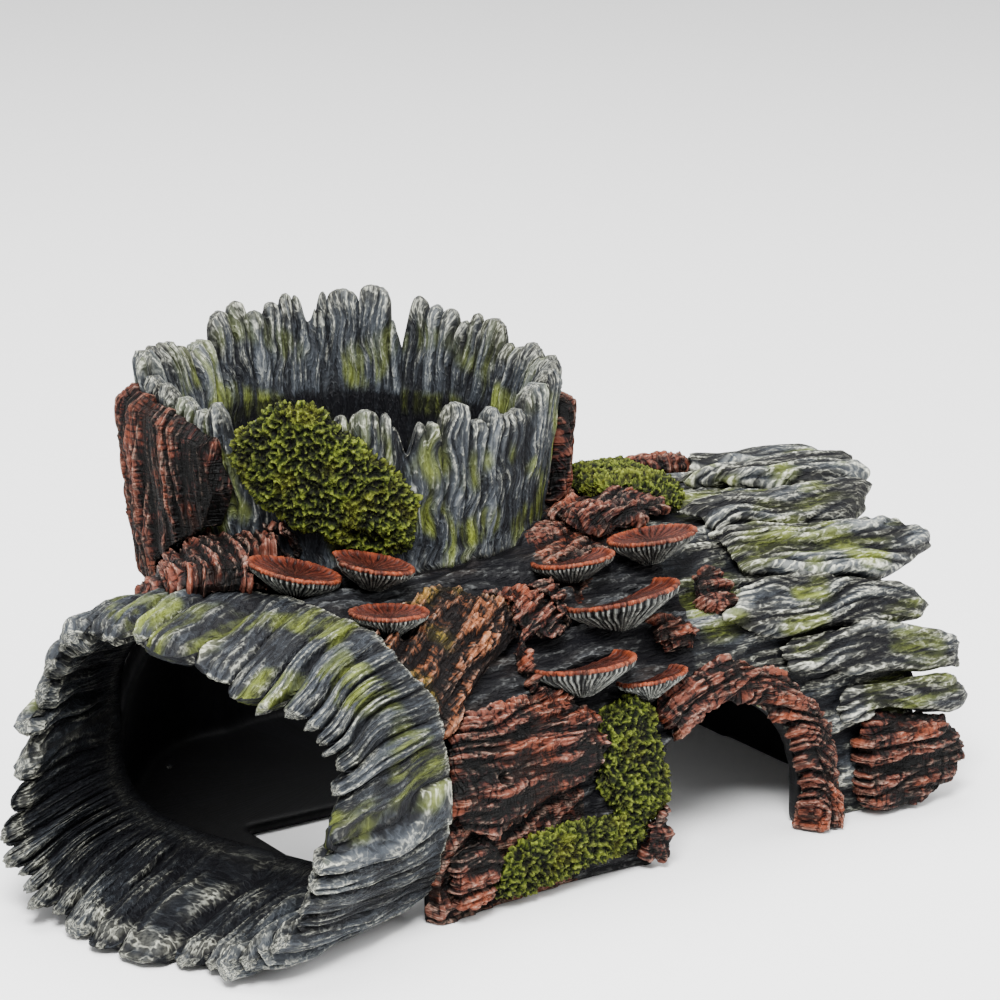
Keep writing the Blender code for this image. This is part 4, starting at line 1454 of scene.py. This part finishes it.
@dataclass
class StumpCrown(JaggedCollar):
    """The crown of staves on the stump."""

    columns: int = 1150
    fingers: int = 52
    finger_seed: int = 12
    rim_radius: float = 50.5
    ledge_z: float = 86.0
    rim_z: float = 97.0
    rim_slope: float = 2.5
    tip_wall: float = 3.4
    least_wall: float = 1.2
    finger_height: float = 6.0
    finger_round: float = 4.0
    group_height: float = 5.5
    top_z: float = 110.0
    notches: tuple[float, ...] = (71.0, 43.0, -106.0, -155.0)
    notch_depth: float = 9.0
    notch_width: float = 2.4
    outer_notch: float = 1.8
    inner_notch: float = 1.2
    depth: float = 2.4
    tip_rounding: float = 1.1
    gap: float = 0.3

    def shape(self, skin: Skin, turn: Array, side: Array, along: Array) -> None:
        """Places the crown's vertices.

        Args:
            skin: Collar to shape.
            turn: Share of a full turn.
            side: 0 on the inner face, 1 on the outer.
            along: 0 at the seat, 1 at the tips.
        """
        fingers = FingerRow(self.fingers, self.finger_seed)
        angle = math.tau * turn
        wander = 0.006 * NOISE.value(turn * 16, along * 2.0, 5.5)
        dome, length, lift = fingers.read(turn + wander)
        arc = turn * 300.0 + 2.0 * NOISE.value(turn * 30, along * 4.0, 8.5)
        fine = NOISE.grooves(along * 0.9, arc / 3.0, 14.0)
        hair = NOISE.grooves(along * 2.0, arc / 1.3, 18.0)
        ridge = (0.30 + 0.70 * dome * lift) * (1 - 0.5 * fine) * (1 - 0.25 * hair)
        notch = np.zeros(len(turn))
        for place in self.notches:
            apart = np.mod(np.degrees(angle) - place + 180, 360) - 180
            notch += np.exp(-((apart / self.notch_width) ** 2))
        group = self.group_height * NOISE.value(turn * 8, 0.0 * turn, 4.5)
        tip = self.rim_z + 2.0 + self.rim_slope * np.sin(angle) + group
        tip += self.finger_height * length + self.finger_round * dome**0.7 - self.notch_depth * notch
        skirt = self.lap + 3.5 * NOISE.value(turn * 12, 0.0 * turn, 2.5)
        up = np.clip(along, 0, 1)
        seat_z = LAYOUT.seat_z + self.gap
        height = seat_z + (tip - seat_z) * up + skirt * np.minimum(along, 0)
        along = up
        lean = np.clip((height - LAYOUT.seat_z) / (self.top_z - LAYOUT.seat_z), 0, 1)
        outer = LAYOUT.stump_radius + (self.rim_radius - LAYOUT.stump_radius) * lean
        outer += 0.9 + self.depth * (ridge - 0.55) * (0.3 + 0.7 * smooth_step(along, 0.0, 0.3))
        outer -= self.outer_notch * notch * along
        ledge = np.clip((height - self.ledge_z) / np.maximum(tip - self.ledge_z, 4.0), 0, 1)
        rim = LAYOUT.stump_radius + (self.rim_radius - LAYOUT.stump_radius) * lean - self.tip_wall
        inner = LAYOUT.stump_bore + (rim - LAYOUT.stump_bore) * ledge
        inner -= self.depth * smooth_step(ledge, 0.0, 0.3) * (ridge - 0.55)
        inner += self.inner_notch * notch * along
        lip = (side > 0.85) & (side < 0.95)
        blunt = self.tip_rounding * smooth_step(along, 0.93, 1.0)
        outer -= blunt
        inner += blunt
        wall = np.maximum(outer - inner, self.least_wall)
        radius = np.where(lip, LAYOUT.stump_radius + self.lap_lift, inner + wall * side)
        places = np.stack([radius * np.cos(angle), radius * np.sin(angle), height], axis=1)
        places[:, :2] += LAYOUT.stump_x, LAYOUT.stump_y
        inward = 1 - side
        seat = smooth_step(height, LAYOUT.seat_z - 8.0, LAYOUT.seat_z + 4.0)
        self.lines = (height, arc, inward * 20.0)
        self.reach = np.where(side > 0.5, 0.25 + 0.60 * seat, 0.65 * smooth_step(ledge, 0.05, 0.3))
        self.height = np.clip(0.05 + 1.05 * ridge, 0, 1)
        # Painted shade: the wall inside the bore, below the ledge, is darkened almost to black.
        self.height *= 1 - 0.9 * inward * (1 - smooth_step(ledge, 0.0, 0.12))
        skin.set_places(places + SHIFT)
        low_down = 1 - 0.7 * smooth_step(height, LAYOUT.seat_z + 12.0, LAYOUT.seat_z + 34.0)
        self.tint = low_down * patches(skin, 11.0, 6.0, -0.1, 0.35)


KINDS: dict[str, type[Casting]] = {
    "mushroom": MushroomCap,
    "moss": Moss,
    "bark": Bark,
    "root": Bark,
    "strand": Strand,
    "mouth": MouthFlare,
    "stump": StumpCrown,
    "log": LogShell,
}


def build_castings() -> None:
    """Makes every casting over its CAD node, by the first word of the node's name."""
    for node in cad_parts:
        KINDS[node.split("_")[0]](node).build()


def main() -> None:
    """Builds the looks and the stage."""
    logging.basicConfig(level=logging.INFO)
    build_castings()
    Studio().build()


if __name__ == "__main__":
    main()
